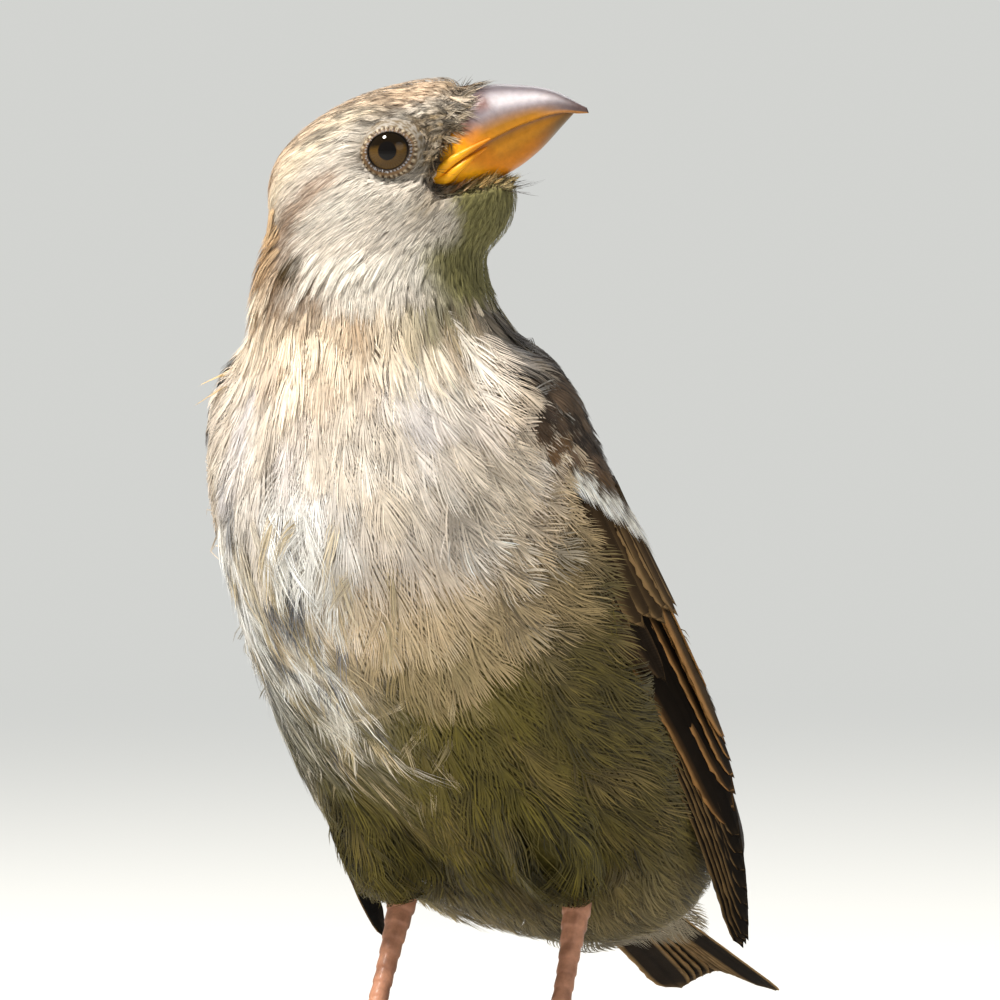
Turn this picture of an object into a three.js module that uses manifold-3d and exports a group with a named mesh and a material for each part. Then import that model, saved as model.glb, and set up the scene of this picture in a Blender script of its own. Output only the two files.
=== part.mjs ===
// House sparrow, life size, standing with its head turned to its left.
// Units are millimetres. +Z is up, the breast faces -Y and the bird's own left side is +X.
// The flesh is modelled whole and parted by thin cuts into head, neck and trunk.
import * as THREE from 'three';
import { mergeVertices } from 'three/addons/utils/BufferGeometryUtils.js';
import Module from 'manifold-3d';

const wasm = await Module();
wasm.setup();

// ---- driving dimensions ------------------------------------------------------------------
const GAP = 0.34;                   // clear space between neighbouring solids
const BACK_FULLNESS = 0.86;         // below 1 the back is squarer than an ellipse
const HEAD_YAW = 14;                // degrees, head axis past the bird's own left
const HEAD_PITCH = 20;              // degrees, bill raised
const HEAD_CENTRE = [0.7, 0.2, 90]; // middle of the skull
const EYE_RADIUS = 3.0;
const EYE_PLACE = [3.2, 2.4, 5.75];  // forward, up and sideways from the middle of the skull
const BILL_CORNER = [6.0, -1.2];    // corner of the mouth, forward and up in the head
const CHIN = [10.0, -3.9];          // where the chin feathers meet the lower bill
const BILL_WALL_GAP = 0.17;         // half the slit between the two mandibles
const WING_FRONT = -4;              // the wing's rounded front, before its bend
const WING_CHORD = 76;              // bend of the wing to the tip of the longest primary
const WING_BEND = [18, 0.5, 67];    // bend of the left wing
const WING_PITCH = 47.5;            // degrees below level, bend to tip
const COVERT_END = 34;              // along the wing, where the greater coverts stop
const TERTIAL_END = 53;             // along the wing, where the tertials stop
const TERTIAL_STEP = 5;             // over this length the upper edge drops to the primaries
const PRIMARIES_WIDTH = 7.6;        // folded primaries, lower edge to upper edge
const WING_CURL_FROM = 4.5;         // above the lower edge, where the wing starts to wrap the back
const WING_CURL = 0.062;            // how fast it curls in towards the back
const WING_TUCK = 0.05;             // how fast its lower edge tucks in under the flank
const THINNEST = 0.62;              // no feather edge is thinner than this
const WING_CLEAR = 5;               // flesh is cleared this far outside the wing
const TAIL_ROOT = [0, 49, 22.5];
const TAIL_LENGTH = 54;
const TAIL_PITCH = 19.5;            // degrees below level
const TAIL_THICKNESS = 1.5;
const TAIL_NOTCH = 2.6;             // the middle feathers are shorter by this
const TAIL_CORNER = 1.6;            // the outer corners are rounded back by this
const TAIL_ROOF = 1.1;              // the middle feathers lie higher than the outer ones
const HEEL = [9.6, 31.5, 17.2];
const FOOT = [10.2, 22.5, 1.7];     // middle of the ball of the foot
const KNEE = [9.0, 18, 33];
const TOE_RADIUS = 0.86;
const CLAW_RADIUS = 0.56;           // at the claw's root

const COLOURS = {
  plumage: 0xb8a58c, crown: 0x8f7a62, wing: 0x5e4634, flight: 0x3f3026, tail: 0x4a3a2e,
  bill: 0x8c6a62, billLower: 0xe0a040, eye: 0x3a2412, leg: 0xb98672, claw: 0x4a3830,
};

// ---- small helpers -----------------------------------------------------------------------
const radians = THREE.MathUtils.degToRad;
const vec = (p) => new THREE.Vector3(...p);

// A smooth curve through rows of [t, value, value ...]; gives the values at any t.
function table(rows) {
  const slopes = rows.map((row, i) => {
    const before = rows[Math.max(i - 1, 0)];
    const after = rows[Math.min(i + 1, rows.length - 1)];
    return row.map((v, k) => (after[k] - before[k]) / (after[0] - before[0]));
  });
  return (t) => {
    let i = 0;
    while (i < rows.length - 2 && t > rows[i + 1][0]) i += 1;
    const step = rows[i + 1][0] - rows[i][0];
    const f = THREE.MathUtils.clamp((t - rows[i][0]) / step, 0, 1);
    const start = 2 * f ** 3 - 3 * f ** 2 + 1;
    const leave = f ** 3 - 2 * f ** 2 + f;
    const arrive = f ** 3 - f ** 2;
    return rows[i].slice(1).map((v, k) => start * v + leave * step * slopes[i][k + 1]
      + (1 - start) * rows[i + 1][k + 1] + arrive * step * slopes[i + 1][k + 1]);
  };
}

// Round the ends of a form: 0 at either end, 1 past the two cap lengths.
function roundEnds(t, capStart, capEnd) {
  const a = Math.min(t / capStart, 1);
  const b = Math.min((1 - t) / capEnd, 1);
  return Math.sqrt(Math.max(0, a * (2 - a))) * Math.sqrt(Math.max(0, b * (2 - b)));
}

// Only positions are kept, and vertices that share a place are one.
function bare(geometry) {
  geometry.deleteAttribute('normal');
  geometry.deleteAttribute('uv');
  return mergeVertices(geometry, 1e-4);
}

// A sphere's vertices carried to shape(t, angle), with t 0..1 from pole to pole.
function loft(shape, sides, rings) {
  const geometry = bare(new THREE.SphereGeometry(1, sides, rings));
  const place = geometry.attributes.position;
  for (let i = 0; i < place.count; i += 1) {
    const p = new THREE.Vector3().fromBufferAttribute(place, i);
    const t = Math.acos(THREE.MathUtils.clamp(p.y, -1, 1)) / Math.PI;
    const q = shape(t, Math.atan2(p.z, p.x));
    place.setXYZ(i, q.x, q.y, q.z);
  }
  return geometry;
}

// A box's vertices carried to shape(u, v, w), each 0..1.
function slab(shape, along, across, through) {
  const geometry = bare(new THREE.BoxGeometry(1, 1, 1, along, across, through));
  const place = geometry.attributes.position;
  for (let i = 0; i < place.count; i += 1) {
    const q = shape(place.getX(i) + 0.5, place.getY(i) + 0.5, place.getZ(i) + 0.5);
    place.setXYZ(i, q.x, q.y, q.z);
  }
  return geometry;
}

function solid(geometry) {
  const vertProperties = new Float32Array(geometry.attributes.position.array);
  const triVerts = new Uint32Array(geometry.index.array);
  let made = new wasm.Manifold(new wasm.Mesh({ numProp: 3, vertProperties, triVerts }));
  if (made.volume() < 0) {
    for (let i = 0; i < triVerts.length; i += 3) {
      [triVerts[i], triVerts[i + 1]] = [triVerts[i + 1], triVerts[i]];
    }
    made = new wasm.Manifold(new wasm.Mesh({ numProp: 3, vertProperties, triVerts }));
  }
  return made;
}

function mirrored(geometry) {
  return geometry.clone().applyMatrix4(new THREE.Matrix4().makeScale(-1, 1, 1));
}

// The half space beyond a plane, as a large box.
function beyond(point, normal) {
  const size = 400;
  const box = new THREE.BoxGeometry(size, size, size);
  box.translate(0, 0, size / 2);
  const turn = new THREE.Quaternion().setFromUnitVectors(new THREE.Vector3(0, 0, 1),
    vec(normal).normalize());
  box.applyQuaternion(turn);
  box.translate(...point);
  return solid(bare(box));
}

// The largest closed body of a cut solid, with slivers dropped.
function largest(cut) {
  const bodies = cut.decompose();
  return bodies.reduce((best, body) => (body.volume() > best.volume() ? body : best));
}

function toGeometry(made) {
  const mesh = made.getMesh();
  const geometry = new THREE.BufferGeometry();
  const count = mesh.vertProperties.length / mesh.numProp;
  const positions = new Float32Array(count * 3);
  for (let i = 0; i < count; i += 1) {
    for (let k = 0; k < 3; k += 1) {
      positions[i * 3 + k] = mesh.vertProperties[i * mesh.numProp + k];
    }
  }
  geometry.setAttribute('position', new THREE.BufferAttribute(positions, 3));
  geometry.setIndex(new THREE.BufferAttribute(new Uint32Array(mesh.triVerts), 1));
  return geometry;
}

const bird = new THREE.Group();

function addNode(name, made, colour, roughness = 0.9) {
  const material = new THREE.MeshStandardMaterial({ color: colour, roughness, metalness: 0 });
  const mesh = new THREE.Mesh(toGeometry(largest(made)), material);
  mesh.name = name;
  bird.add(mesh);
}

// ---- trunk and neck ----------------------------------------------------------------------
// Rows along the spine: place along it, y, z, half width, depth to the back, depth to the breast.
const trunkRows = table([
  [0.00, 0.8, 88.0, 10.3, 10.0, 10.6],
  [0.08, 0.3, 81.5, 11.5, 11.6, 11.6],
  [0.16, 1.3, 74.0, 13.4, 14.4, 15.3],
  [0.28, 5.6, 64.5, 18.0, 16.2, 22.0],
  [0.40, 12.5, 54.5, 19.4, 16.0, 21.2],
  [0.53, 21.0, 43.5, 20.2, 16.0, 17.2],
  [0.66, 31.0, 33.6, 20.6, 15.6, 14.0],
  [0.78, 41.5, 26.0, 19.6, 11.6, 11.8],
  [0.88, 53.0, 20.0, 16.4, 6.4, 8.6],
  [1.00, 67.5, 14.4, 7.4, 2.6, 4.0],
]);

function trunkPoint(t, angle, grow = 0) {
  const [y, z, half, back, breast] = trunkRows(t);
  const [y0, z0] = trunkRows(Math.max(t - 0.01, 0));
  const [y1, z1] = trunkRows(Math.min(t + 0.01, 1));
  const along = new THREE.Vector2(y1 - y0, z1 - z0).normalize();
  const cap = roundEnds(t, 0.06, 0.05);
  const rise = Math.sin(angle);
  const fullness = rise > 0 ? BACK_FULLNESS : 1;
  const side = Math.sign(Math.cos(angle)) * Math.abs(Math.cos(angle)) ** fullness;
  const depth = (rise > 0 ? back : breast) + grow;
  const up = Math.sign(rise) * Math.abs(rise) ** fullness * depth * cap;
  return new THREE.Vector3((half + grow) * side * cap, y - along.y * up, z + along.x * up);
}

// ---- head --------------------------------------------------------------------------------
// Local frame: forward along the bill, up, and sideways (bird's right is negative).
const headTurn = new THREE.Matrix4().makeRotationZ(radians(HEAD_YAW))
  .multiply(new THREE.Matrix4().makeRotationY(-radians(HEAD_PITCH)));
const headPlace = new THREE.Matrix4().makeTranslation(...HEAD_CENTRE).multiply(headTurn);

function inHead(forward, up, sideways) {
  return new THREE.Vector3(forward, sideways, up).applyMatrix4(headPlace);
}

// Rows along the head: place along it, forward, half width, level of the cheeks, top, bottom.
const headRows = table([
  [0.00, -11.7, 7.4, 0.0, 3.4, -4.0],
  [0.12, -9.2, 8.2, -0.6, 5.9, -7.6],
  [0.28, -5.6, 9.3, -1.6, 7.9, -9.8],
  [0.44, -1.6, 9.8, -2.4, 9.0, -10.6],
  [0.58, 2.4, 9.2, -2.6, 9.3, -10.8],
  [0.72, 6.4, 7.6, -2.4, 8.9, -10.6],
  [0.84, 9.8, 6.0, -1.8, 8.1, -9.4],
  [0.94, 12.6, 4.8, -1.0, 6.9, -7.4],
  [1.00, 14.8, 3.9, -0.8, 5.4, -5.0],
]);

function headPoint(t, angle) {
  const [forward, half, level, top, bottom] = headRows(t);
  const cap = roundEnds(t, 0.16, 0.12);
  const rise = Math.sin(angle);
  const reach = (rise > 0 ? top - level : level - bottom) * cap;
  return inHead(forward, level + rise * reach, Math.cos(angle) * half * cap);
}

// ---- bill --------------------------------------------------------------------------------
// Rows along a mandible: place along it, forward, outer edge, mouth line, half width.
const upperRows = table([
  [0.00, 5.6, 1.6, -1.5, 4.2],
  [0.22, 9.4, 4.7, -0.3, 4.35],
  [0.42, 13.0, 5.75, 0.6, 3.9],
  [0.62, 16.6, 4.55, 0.95, 2.95],
  [0.82, 19.9, 2.55, 0.6, 1.75],
  [1.00, 22.4, 0.1, -0.5, 0.5],
]);
const lowerRows = table([
  [0.00, 5.6, -2.4, -1.5, 4.2],
  [0.22, 9.0, -3.5, -0.4, 4.2],
  [0.44, 12.6, -3.75, 0.5, 3.6],
  [0.66, 16.2, -2.9, 0.85, 2.6],
  [0.86, 19.4, -1.1, 0.55, 1.45],
  [1.00, 21.2, 0.1, 0.3, 0.5],
]);

// A mandible's section is a half ellipse arched away from the mouth line.
function mandible(rows, direction) {
  return (grow) => (t, angle) => {
    const [forward, outer, mouth, half] = rows(t);
    const cap = roundEnds(t, 0.1, 0.06);
    const rise = Math.sin(angle);
    const arch = (outer - mouth) * direction;
    const flat = grow - BILL_WALL_GAP;
    const lift = rise > 0 ? rise * (arch + grow) : rise * Math.max(0.05, flat * 0.5 + 0.1);
    const base = mouth + direction * (BILL_WALL_GAP - (rise > 0 ? 0 : grow * rise * rise));
    const wide = Math.sign(Math.cos(angle)) * Math.abs(Math.cos(angle)) ** 0.86;
    return inHead(forward, base + direction * lift * cap, wide * (half + grow) * cap);
  };
}
const upperBill = mandible(upperRows, 1);
const lowerBill = mandible(lowerRows, -1);

// ---- wings -------------------------------------------------------------------------------
// Rows along the wing in mm from its bend: lower edge, upper edge, outermost x, thickness.
const wingRows = table([
  [-4, 2.0, 4.5, 15.4, 2.2],
  [0, -1.8, 9.0, 17.4, 2.9],
  [10, -3.0, 15.0, 18.4, 3.1],
  [22, -2.6, 17.0, 19.4, 3.0],
  [36, -1.2, 16.2, 20.8, 2.5],
  [48, -0.6, 13.8, 21.7, 2.0],
  [60, -0.4, 10.6, 21.9, 1.5],
  [70, -0.3, 7.6, 21.4, 1.15],
  [76, -0.2, 4.6, 20.6, 0.9],
]);

const wingAlong = new THREE.Vector3(0, Math.cos(radians(WING_PITCH)), -Math.sin(radians(WING_PITCH)));
const wingAcross = new THREE.Vector3(0, Math.sin(radians(WING_PITCH)), Math.cos(radians(WING_PITCH)));

// Past the tertials only the primaries are left, and they taper to the wing tip.
function upperEdge(s, full) {
  const step = THREE.MathUtils.smoothstep(s, TERTIAL_END, TERTIAL_END + TERTIAL_STEP);
  const past = Math.max(0, (s - TERTIAL_END) / (WING_CHORD - TERTIAL_END));
  const primaries = PRIMARIES_WIDTH * Math.sqrt(Math.max(0.01, 1 - past ** 2.2));
  return THREE.MathUtils.lerp(full, Math.min(full, primaries), step);
}

function wingPoint(u, v, w, grow = 0, outward = 0) {
  const s = THREE.MathUtils.lerp(WING_FRONT - grow, WING_CHORD + grow, u);
  const [low, full, outer, thick] = wingRows(THREE.MathUtils.clamp(s, WING_FRONT, WING_CHORD));
  const nose = Math.sqrt(THREE.MathUtils.clamp((s - WING_FRONT + 0.6) / 7, 0.05, 1));
  const high = low + (upperEdge(s, full) - low) * nose + grow;
  const h = THREE.MathUtils.lerp(low - grow, high, v);
  const curl = Math.max(0, h - WING_CURL_FROM);
  const tuck = Math.max(0, 2 - h);
  const edge = 0.45 + 0.55 * Math.sin(Math.PI * THREE.MathUtils.clamp(v, 0.02, 0.98)) ** 0.5;
  const x = outer - WING_CURL * curl ** 2 - WING_TUCK * tuck ** 2;
  const slope = 2 * WING_CURL * curl;
  const inward = new THREE.Vector3(-1, 0, 0).addScaledVector(wingAcross, -slope).normalize();
  const depth = THREE.MathUtils.lerp(-grow - outward, Math.max(THINNEST, thick * edge) + grow, w);
  return new THREE.Vector3(x, WING_BEND[1], WING_BEND[2])
    .addScaledVector(wingAlong, s).addScaledVector(wingAcross, h).addScaledVector(inward, depth);
}

// ---- tail --------------------------------------------------------------------------------
const tailAlong = new THREE.Vector3(0, Math.cos(radians(TAIL_PITCH)), -Math.sin(radians(TAIL_PITCH)));
const tailUp = new THREE.Vector3(0, Math.sin(radians(TAIL_PITCH)), Math.cos(radians(TAIL_PITCH)));
const tailHalf = table([[0, 4.2], [0.3, 5.6], [0.6, 6.6], [0.85, 7.4], [1, 7.0]]);

function tailPoint(u, v, w, grow = 0) {
  const side = 2 * v - 1;
  const notch = TAIL_NOTCH * (1 - Math.abs(side) ** 1.3) + TAIL_CORNER * Math.abs(side) ** 8;
  const s = u * (TAIL_LENGTH - notch) - grow * (1 - 2 * u);
  const half = tailHalf(u)[0] + grow;
  const roof = TAIL_ROOF * (1 - side * side) * (1 - 0.35 * u);
  const thick = TAIL_THICKNESS * (1 - 0.45 * u) * (1 - 0.4 * side ** 4);
  const lift = roof + (w - 0.5) * (thick + 2 * grow);
  return vec(TAIL_ROOT).add(new THREE.Vector3(half * side, 0, 0))
    .addScaledVector(tailAlong, s).addScaledVector(tailUp, lift);
}

// ---- legs --------------------------------------------------------------------------------
// A limb along points with a radius at each; its section is an ellipse, tall by the ratio.
function limb(points, radii, sides, rings, ratio = 1, grow = 0) {
  const path = new THREE.CatmullRomCurve3(points.map(vec), false, 'centripetal');
  const sizes = table(radii.map((r, i) => [i / (radii.length - 1), r]));
  return loft((t, angle) => {
    const centre = path.getPoint(t);
    const along = path.getTangent(t);
    const side = new THREE.Vector3(0, 0, 1).cross(along);
    if (side.length() < 0.3) side.set(1, 0, 0);
    side.normalize();
    const up = along.clone().cross(side).normalize();
    const r = (sizes(t)[0] + grow) * roundEnds(t, 0.1, 0.1);
    return centre.addScaledVector(side, r * Math.cos(angle))
      .addScaledVector(up, r * ratio * Math.sin(angle))
      .addScaledVector(along, grow * (2 * t - 1));
  }, sides, rings);
}

// Toe number, length without the claw, claw length, heading in degrees from straight ahead.
const toes = [
  { number: 1, reach: 7.6, claw: 6.0, heading: 178 },
  { number: 2, reach: 9.6, claw: 4.6, heading: -27 },
  { number: 3, reach: 13.4, claw: 5.0, heading: 3 },
  { number: 4, reach: 10.0, claw: 4.4, heading: 32 },
];

function toeShapes(toe, grow) {
  const turn = radians(toe.heading);
  const at = (d, z) => [FOOT[0] + Math.sin(turn) * d, FOOT[1] - Math.cos(turn) * d, z];
  const d = toe.reach;
  const pads = [at(0.9, 1.2), at(d * 0.3, 0.8), at(d * 0.5, 0.86), at(d * 0.75, 0.7), at(d, 0.78)];
  const padRadii = [1.1, 1.12, 0.92, 1.02, 0.82].map((ratio) => ratio * TOE_RADIUS);
  const body = limb(pads, padRadii, 8, 8, 1, grow);
  const end = d - 0.15;
  const c = toe.claw;
  const arc = [at(end, 0.95), at(end + c * 0.35, 1.28), at(end + c * 0.72, 0.98), at(end + c, 0.12)];
  const clawRadii = [1, 0.9, 0.64, 0.36].map((ratio) => ratio * CLAW_RADIUS);
  const nail = limb(arc, clawRadii, 6, 5, 1.25, grow);
  return { body, nail };
}

const floor = beyond([0, 0, 0], [0, 0, -1]);

// ---- the flesh, whole then parted --------------------------------------------------------
const trunkWhole = solid(loft((t, angle) => trunkPoint(t, angle), 22, 24));
const headWhole = solid(loft(headPoint, 21, 17));
const flesh = trunkWhole.add(headWhole);

const headCut = { point: [0.4, 0, 81.6], normal: [0.25, 0.05, 1] };
const neckCut = { point: [0, 1.2, 74.6], normal: [0, -0.22, 1] };
const shift = (cut, along) => {
  const n = vec(cut.normal).normalize();
  return vec(cut.point).addScaledVector(n, along).toArray();
};
const aboveHeadCut = beyond(shift(headCut, GAP / 2), headCut.normal);
const belowHeadCut = beyond(shift(headCut, -GAP / 2), vec(headCut.normal).negate().toArray());
const aboveNeckCut = beyond(shift(neckCut, GAP / 2), neckCut.normal);
const belowNeckCut = beyond(shift(neckCut, -GAP / 2), vec(neckCut.normal).negate().toArray());

const eyeBall = (side, grow) => {
  const ball = bare(new THREE.SphereGeometry(EYE_RADIUS + grow, 12, 9));
  const place = inHead(EYE_PLACE[0], EYE_PLACE[1], side * EYE_PLACE[2]);
  return solid(ball.translate(place.x, place.y, place.z));
};

let head = flesh.intersect(aboveHeadCut);
for (const side of [-1, 1]) head = head.subtract(eyeBall(side, GAP));
head = head.subtract(solid(loft(upperBill(GAP), 14, 11)));
head = head.subtract(solid(loft(lowerBill(GAP), 14, 11)));

// The bare bill shows in front of a slanting line from the culmen to the corner of the mouth,
// and above the chin feathers.
const headPlane = (forward, up, normalForward, normalUp) => {
  const normal = new THREE.Vector3(normalForward, 0, normalUp).transformDirection(headTurn);
  return beyond(inHead(forward, up, 0).toArray(), normal.toArray());
};
const billOpening = headPlane(...BILL_CORNER, 7.3, -7.1).intersect(headPlane(...CHIN, 0.17, 1));
head = largest(head.subtract(billOpening));

let neck = flesh.intersect(belowHeadCut).intersect(aboveNeckCut);
let trunk = flesh.intersect(belowNeckCut);

// No flesh stands outside a wing: the cut reaches WING_CLEAR beyond its outer face.
const wingGrown = slab((u, v, w) => wingPoint(u, v, w, GAP, WING_CLEAR), 24, 6, 1);
for (const grown of [wingGrown, mirrored(wingGrown)]) {
  const cutter = solid(grown);
  trunk = largest(trunk.subtract(cutter));
  neck = largest(neck.subtract(cutter));
}
trunk = largest(trunk.subtract(solid(slab((u, v, w) => tailPoint(u, v, w, GAP), 6, 6, 1))));

addNode('head', head, COLOURS.crown);
addNode('neck', neck, COLOURS.plumage);
addNode('trunk', trunk, COLOURS.plumage);
addNode('bill_upper', solid(loft(upperBill(0), 14, 11)), COLOURS.bill, 0.35);
addNode('bill_lower', solid(loft(lowerBill(0), 14, 11)), COLOURS.billLower, 0.35);
addNode('eye_right', eyeBall(-1, 0), COLOURS.eye, 0.08);
addNode('eye_left', eyeBall(1, 0), COLOURS.eye, 0.08);
addNode('tail', solid(slab((u, v, w) => tailPoint(u, v, w), 9, 8, 1)), COLOURS.tail);

// ---- the wings, parted into coverts, secondaries and primaries -----------------------------
const wingWhole = solid(slab((u, v, w) => wingPoint(u, v, w), 24, 6, 1));
const wingAt = (s, h) => new THREE.Vector3(0, WING_BEND[1], WING_BEND[2])
  .addScaledVector(wingAlong, s).addScaledVector(wingAcross, h);
const covertCut = { point: wingAt(COVERT_END, 0).toArray(), normal: wingAlong.toArray() };
const foldStart = wingAt(COVERT_END, 3.2);
const foldEnd = wingAt(TERTIAL_END + 8, 7.4);
const foldNormal = foldEnd.clone().sub(foldStart).cross(new THREE.Vector3(1, 0, 0)).negate();
const foldCut = { point: foldStart.toArray(), normal: foldNormal.toArray() };
const part = (whole, cut, direction) => whole.intersect(
  beyond(shift(cut, direction * GAP / 2), vec(cut.normal).multiplyScalar(direction).toArray()));
const flight = part(wingWhole, covertCut, 1);
const wingParts = {
  coverts: part(wingWhole, covertCut, -1),
  secondaries: part(flight, foldCut, foldNormal.z > 0 ? 1 : -1),
  primaries: part(flight, foldCut, foldNormal.z > 0 ? -1 : 1),
};
for (const [name, made] of Object.entries(wingParts)) {
  const colour = name === 'coverts' ? COLOURS.wing : COLOURS.flight;
  addNode(`wing_left_${name}`, largest(made), colour);
  addNode(`wing_right_${name}`, solid(mirrored(toGeometry(largest(made)))), colour);
}

// ---- the legs and feet ---------------------------------------------------------------------
const trunkGrown = solid(loft((t, angle) => trunkPoint(t, angle, GAP), 22, 24));
const SOLE = [FOOT[0], FOOT[1] - 0.2, 0.25];
const tarsusPoints = [HEEL, [9.9, 27.4, 9.8], [10.1, 23.6, 3.6], FOOT, SOLE];
const tarsusRadii = [1.55, 1.05, 1.0, 1.3, 1.5];
const thighPoints = [KNEE, [9.2, 24.5, 25.6], [9.5, 29.0, 20.6], [9.6, 31.0, 18.2]];
const thighRadii = [6.0, 5.6, 3.4, 2.2];

const tarsus = solid(limb(tarsusPoints, tarsusRadii, 9, 10)).subtract(floor);
const tarsusGrown = solid(limb(tarsusPoints, tarsusRadii, 9, 10, 1, GAP));
const thigh = solid(limb(thighPoints, thighRadii, 14, 9)).subtract(trunkGrown)
  .subtract(tarsusGrown);
const legNodes = { thigh: largest(thigh), tarsus };
let taken = tarsusGrown;
for (const toe of toes) {
  const shapes = toeShapes(toe, 0);
  const grown = toeShapes(toe, GAP);
  legNodes[`toe_${toe.number}`] = largest(solid(shapes.body).subtract(taken).subtract(floor));
  const nail = solid(shapes.nail).subtract(solid(grown.body)).subtract(floor);
  legNodes[`claw_${toe.number}`] = largest(nail);
  taken = taken.add(solid(grown.body));
}
for (const [name, made] of Object.entries(legNodes)) {
  let colour = name.startsWith('claw') ? COLOURS.claw : COLOURS.leg;
  if (name === 'thigh') colour = COLOURS.plumage;
  addNode(name.replace('_', '_left_') + (name.includes('_') ? '' : '_left'), made, colour, 0.6);
  const other = solid(mirrored(toGeometry(made)));
  addNode(name.replace('_', '_right_') + (name.includes('_') ? '' : '_right'), other, colour, 0.6);
}

// ---- origin: on the floor, under the middle of the whole bird ------------------------------
const bounds = new THREE.Box3().setFromObject(bird);
bird.position.set(-(bounds.min.x + bounds.max.x) / 2, -(bounds.min.y + bounds.max.y) / 2,
  -bounds.min.z);
bird.updateMatrixWorld(true);

export default bird;
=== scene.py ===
"""House sparrow, still and life size: skin, feathers, bill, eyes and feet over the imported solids.

Numbers for the bird's own parts are millimetres in its own frame, whose origin is on the floor
below the neck: +Z up, breast towards -Y, the bird's left side towards +X. metres() places them.
"""
import math

import bmesh
import bpy
import numpy as np
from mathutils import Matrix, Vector
from mathutils.bvhtree import BVHTree


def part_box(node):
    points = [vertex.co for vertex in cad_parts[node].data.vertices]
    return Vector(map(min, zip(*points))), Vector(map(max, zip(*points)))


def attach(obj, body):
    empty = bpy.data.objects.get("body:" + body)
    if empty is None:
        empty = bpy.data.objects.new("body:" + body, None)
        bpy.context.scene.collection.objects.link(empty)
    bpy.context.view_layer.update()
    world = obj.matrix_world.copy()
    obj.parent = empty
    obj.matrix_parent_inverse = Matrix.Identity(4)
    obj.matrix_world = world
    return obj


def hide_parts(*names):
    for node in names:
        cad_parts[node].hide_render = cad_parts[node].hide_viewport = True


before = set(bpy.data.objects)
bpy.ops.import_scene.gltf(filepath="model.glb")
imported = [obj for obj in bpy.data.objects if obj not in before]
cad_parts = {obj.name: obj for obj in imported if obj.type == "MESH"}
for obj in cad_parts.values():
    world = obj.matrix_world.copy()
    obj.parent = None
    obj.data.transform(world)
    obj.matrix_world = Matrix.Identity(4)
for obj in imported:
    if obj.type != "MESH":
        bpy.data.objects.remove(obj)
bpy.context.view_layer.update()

# ---- the bird's own frame -----------------------------------------------------------------
MM = 0.001
HEAD_CENTRE = np.array([0.7, 0.2, 90.0])
HEAD_YAW = math.radians(14)
HEAD_PITCH = math.radians(20)
EYE_FORWARD, EYE_UP = 3.2, 2.4
EYE_RADIUS = 3.0

HEAD_FORWARD = np.array([math.cos(HEAD_YAW) * math.cos(HEAD_PITCH),
                         math.sin(HEAD_YAW) * math.cos(HEAD_PITCH), math.sin(HEAD_PITCH)])
HEAD_LEFT = np.array([-math.sin(HEAD_YAW), math.cos(HEAD_YAW), 0.0])
HEAD_UP = np.cross(HEAD_FORWARD, HEAD_LEFT)


def box_centre(node):
    low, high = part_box(node)
    return np.array((low + high) / 2) / MM


eye_middle = (box_centre("eye_left") + box_centre("eye_right")) / 2
EYE_APART = np.linalg.norm(box_centre("eye_left") - box_centre("eye_right")) / 2
ORIGIN = eye_middle - HEAD_FORWARD * EYE_FORWARD - HEAD_UP * EYE_UP - HEAD_CENTRE


WING_BEND = np.array([0.0, 0.5, 67.0])
WING_PITCH = math.radians(47.5)
WING_ALONG = np.array([0, math.cos(WING_PITCH), -math.sin(WING_PITCH)])
WING_ACROSS = np.array([0, math.sin(WING_PITCH), math.cos(WING_PITCH)])
WING_AT = [-4, 0, 10, 22, 36, 48, 60, 70, 76]
WING_OUTER = [15.4, 17.4, 18.4, 19.4, 20.8, 21.7, 21.9, 21.4, 20.6]
WING_LOW = [2.0, -1.8, -3.0, -2.6, -1.2, -0.6, -0.4, -0.3, -0.2]
WING_HIGH = [4.5, 9.0, 15.0, 17.0, 16.2, 13.8, 10.6, 7.6, 4.6]


def metres(points):
    return (np.asarray(points, float) + ORIGIN) * MM


def own(points):
    return np.asarray(points, float) / MM - ORIGIN


def head_point(forward, up, left):
    forward, up, left = np.broadcast_arrays(forward, up, left)
    return (HEAD_CENTRE + forward[..., None] * HEAD_FORWARD + up[..., None] * HEAD_UP
            + left[..., None] * HEAD_LEFT)


def head_coordinates(points):
    d = points - HEAD_CENTRE
    return d @ HEAD_FORWARD, d @ HEAD_UP, d @ HEAD_LEFT


# The line through the middle of neck and trunk, in the plane x = 0: y and z.
SPINE = np.array([[0.8, 88.0], [0.3, 81.5], [1.3, 74.0], [5.6, 64.5], [12.5, 54.5],
                  [21.0, 43.5], [31.0, 33.6], [41.5, 26.0], [53.0, 20.0], [67.5, 14.4]])
SPINE_STEPS = np.linalg.norm(np.diff(SPINE, axis=0), axis=1)
SPINE_LENGTH = SPINE_STEPS.sum()


def body_coordinates(points):
    """Millimetres along the spine, angle round it (0 belly, pi back), and its direction."""
    best = np.full(len(points), np.inf)
    along = np.zeros(len(points))
    heading = np.zeros((len(points), 3))
    centre = np.zeros((len(points), 3))
    start = 0.0
    for (a, b), length in zip(zip(SPINE[:-1], SPINE[1:]), SPINE_STEPS):
        d = (b - a) / length
        f = np.clip((points[:, 1:] - a) @ d, 0, length)
        foot = a + f[:, None] * d
        gap = np.linalg.norm(points[:, 1:] - foot, axis=1)
        near = gap < best
        best[near] = gap[near]
        along[near] = (start + f)[near]
        heading[near] = [0, d[0], d[1]]
        centre[near, 1:] = foot[near]
        start += length
    out = points - centre
    backward = out[:, 2] * heading[:, 1] - out[:, 1] * heading[:, 2]
    angle = np.arctan2(np.abs(points[:, 0]), -backward)
    return along, angle, heading


def smooth(x, low, high):
    t = np.clip((x - low) / (high - low), 0, 1)
    return t * t * (3 - 2 * t)


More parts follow.
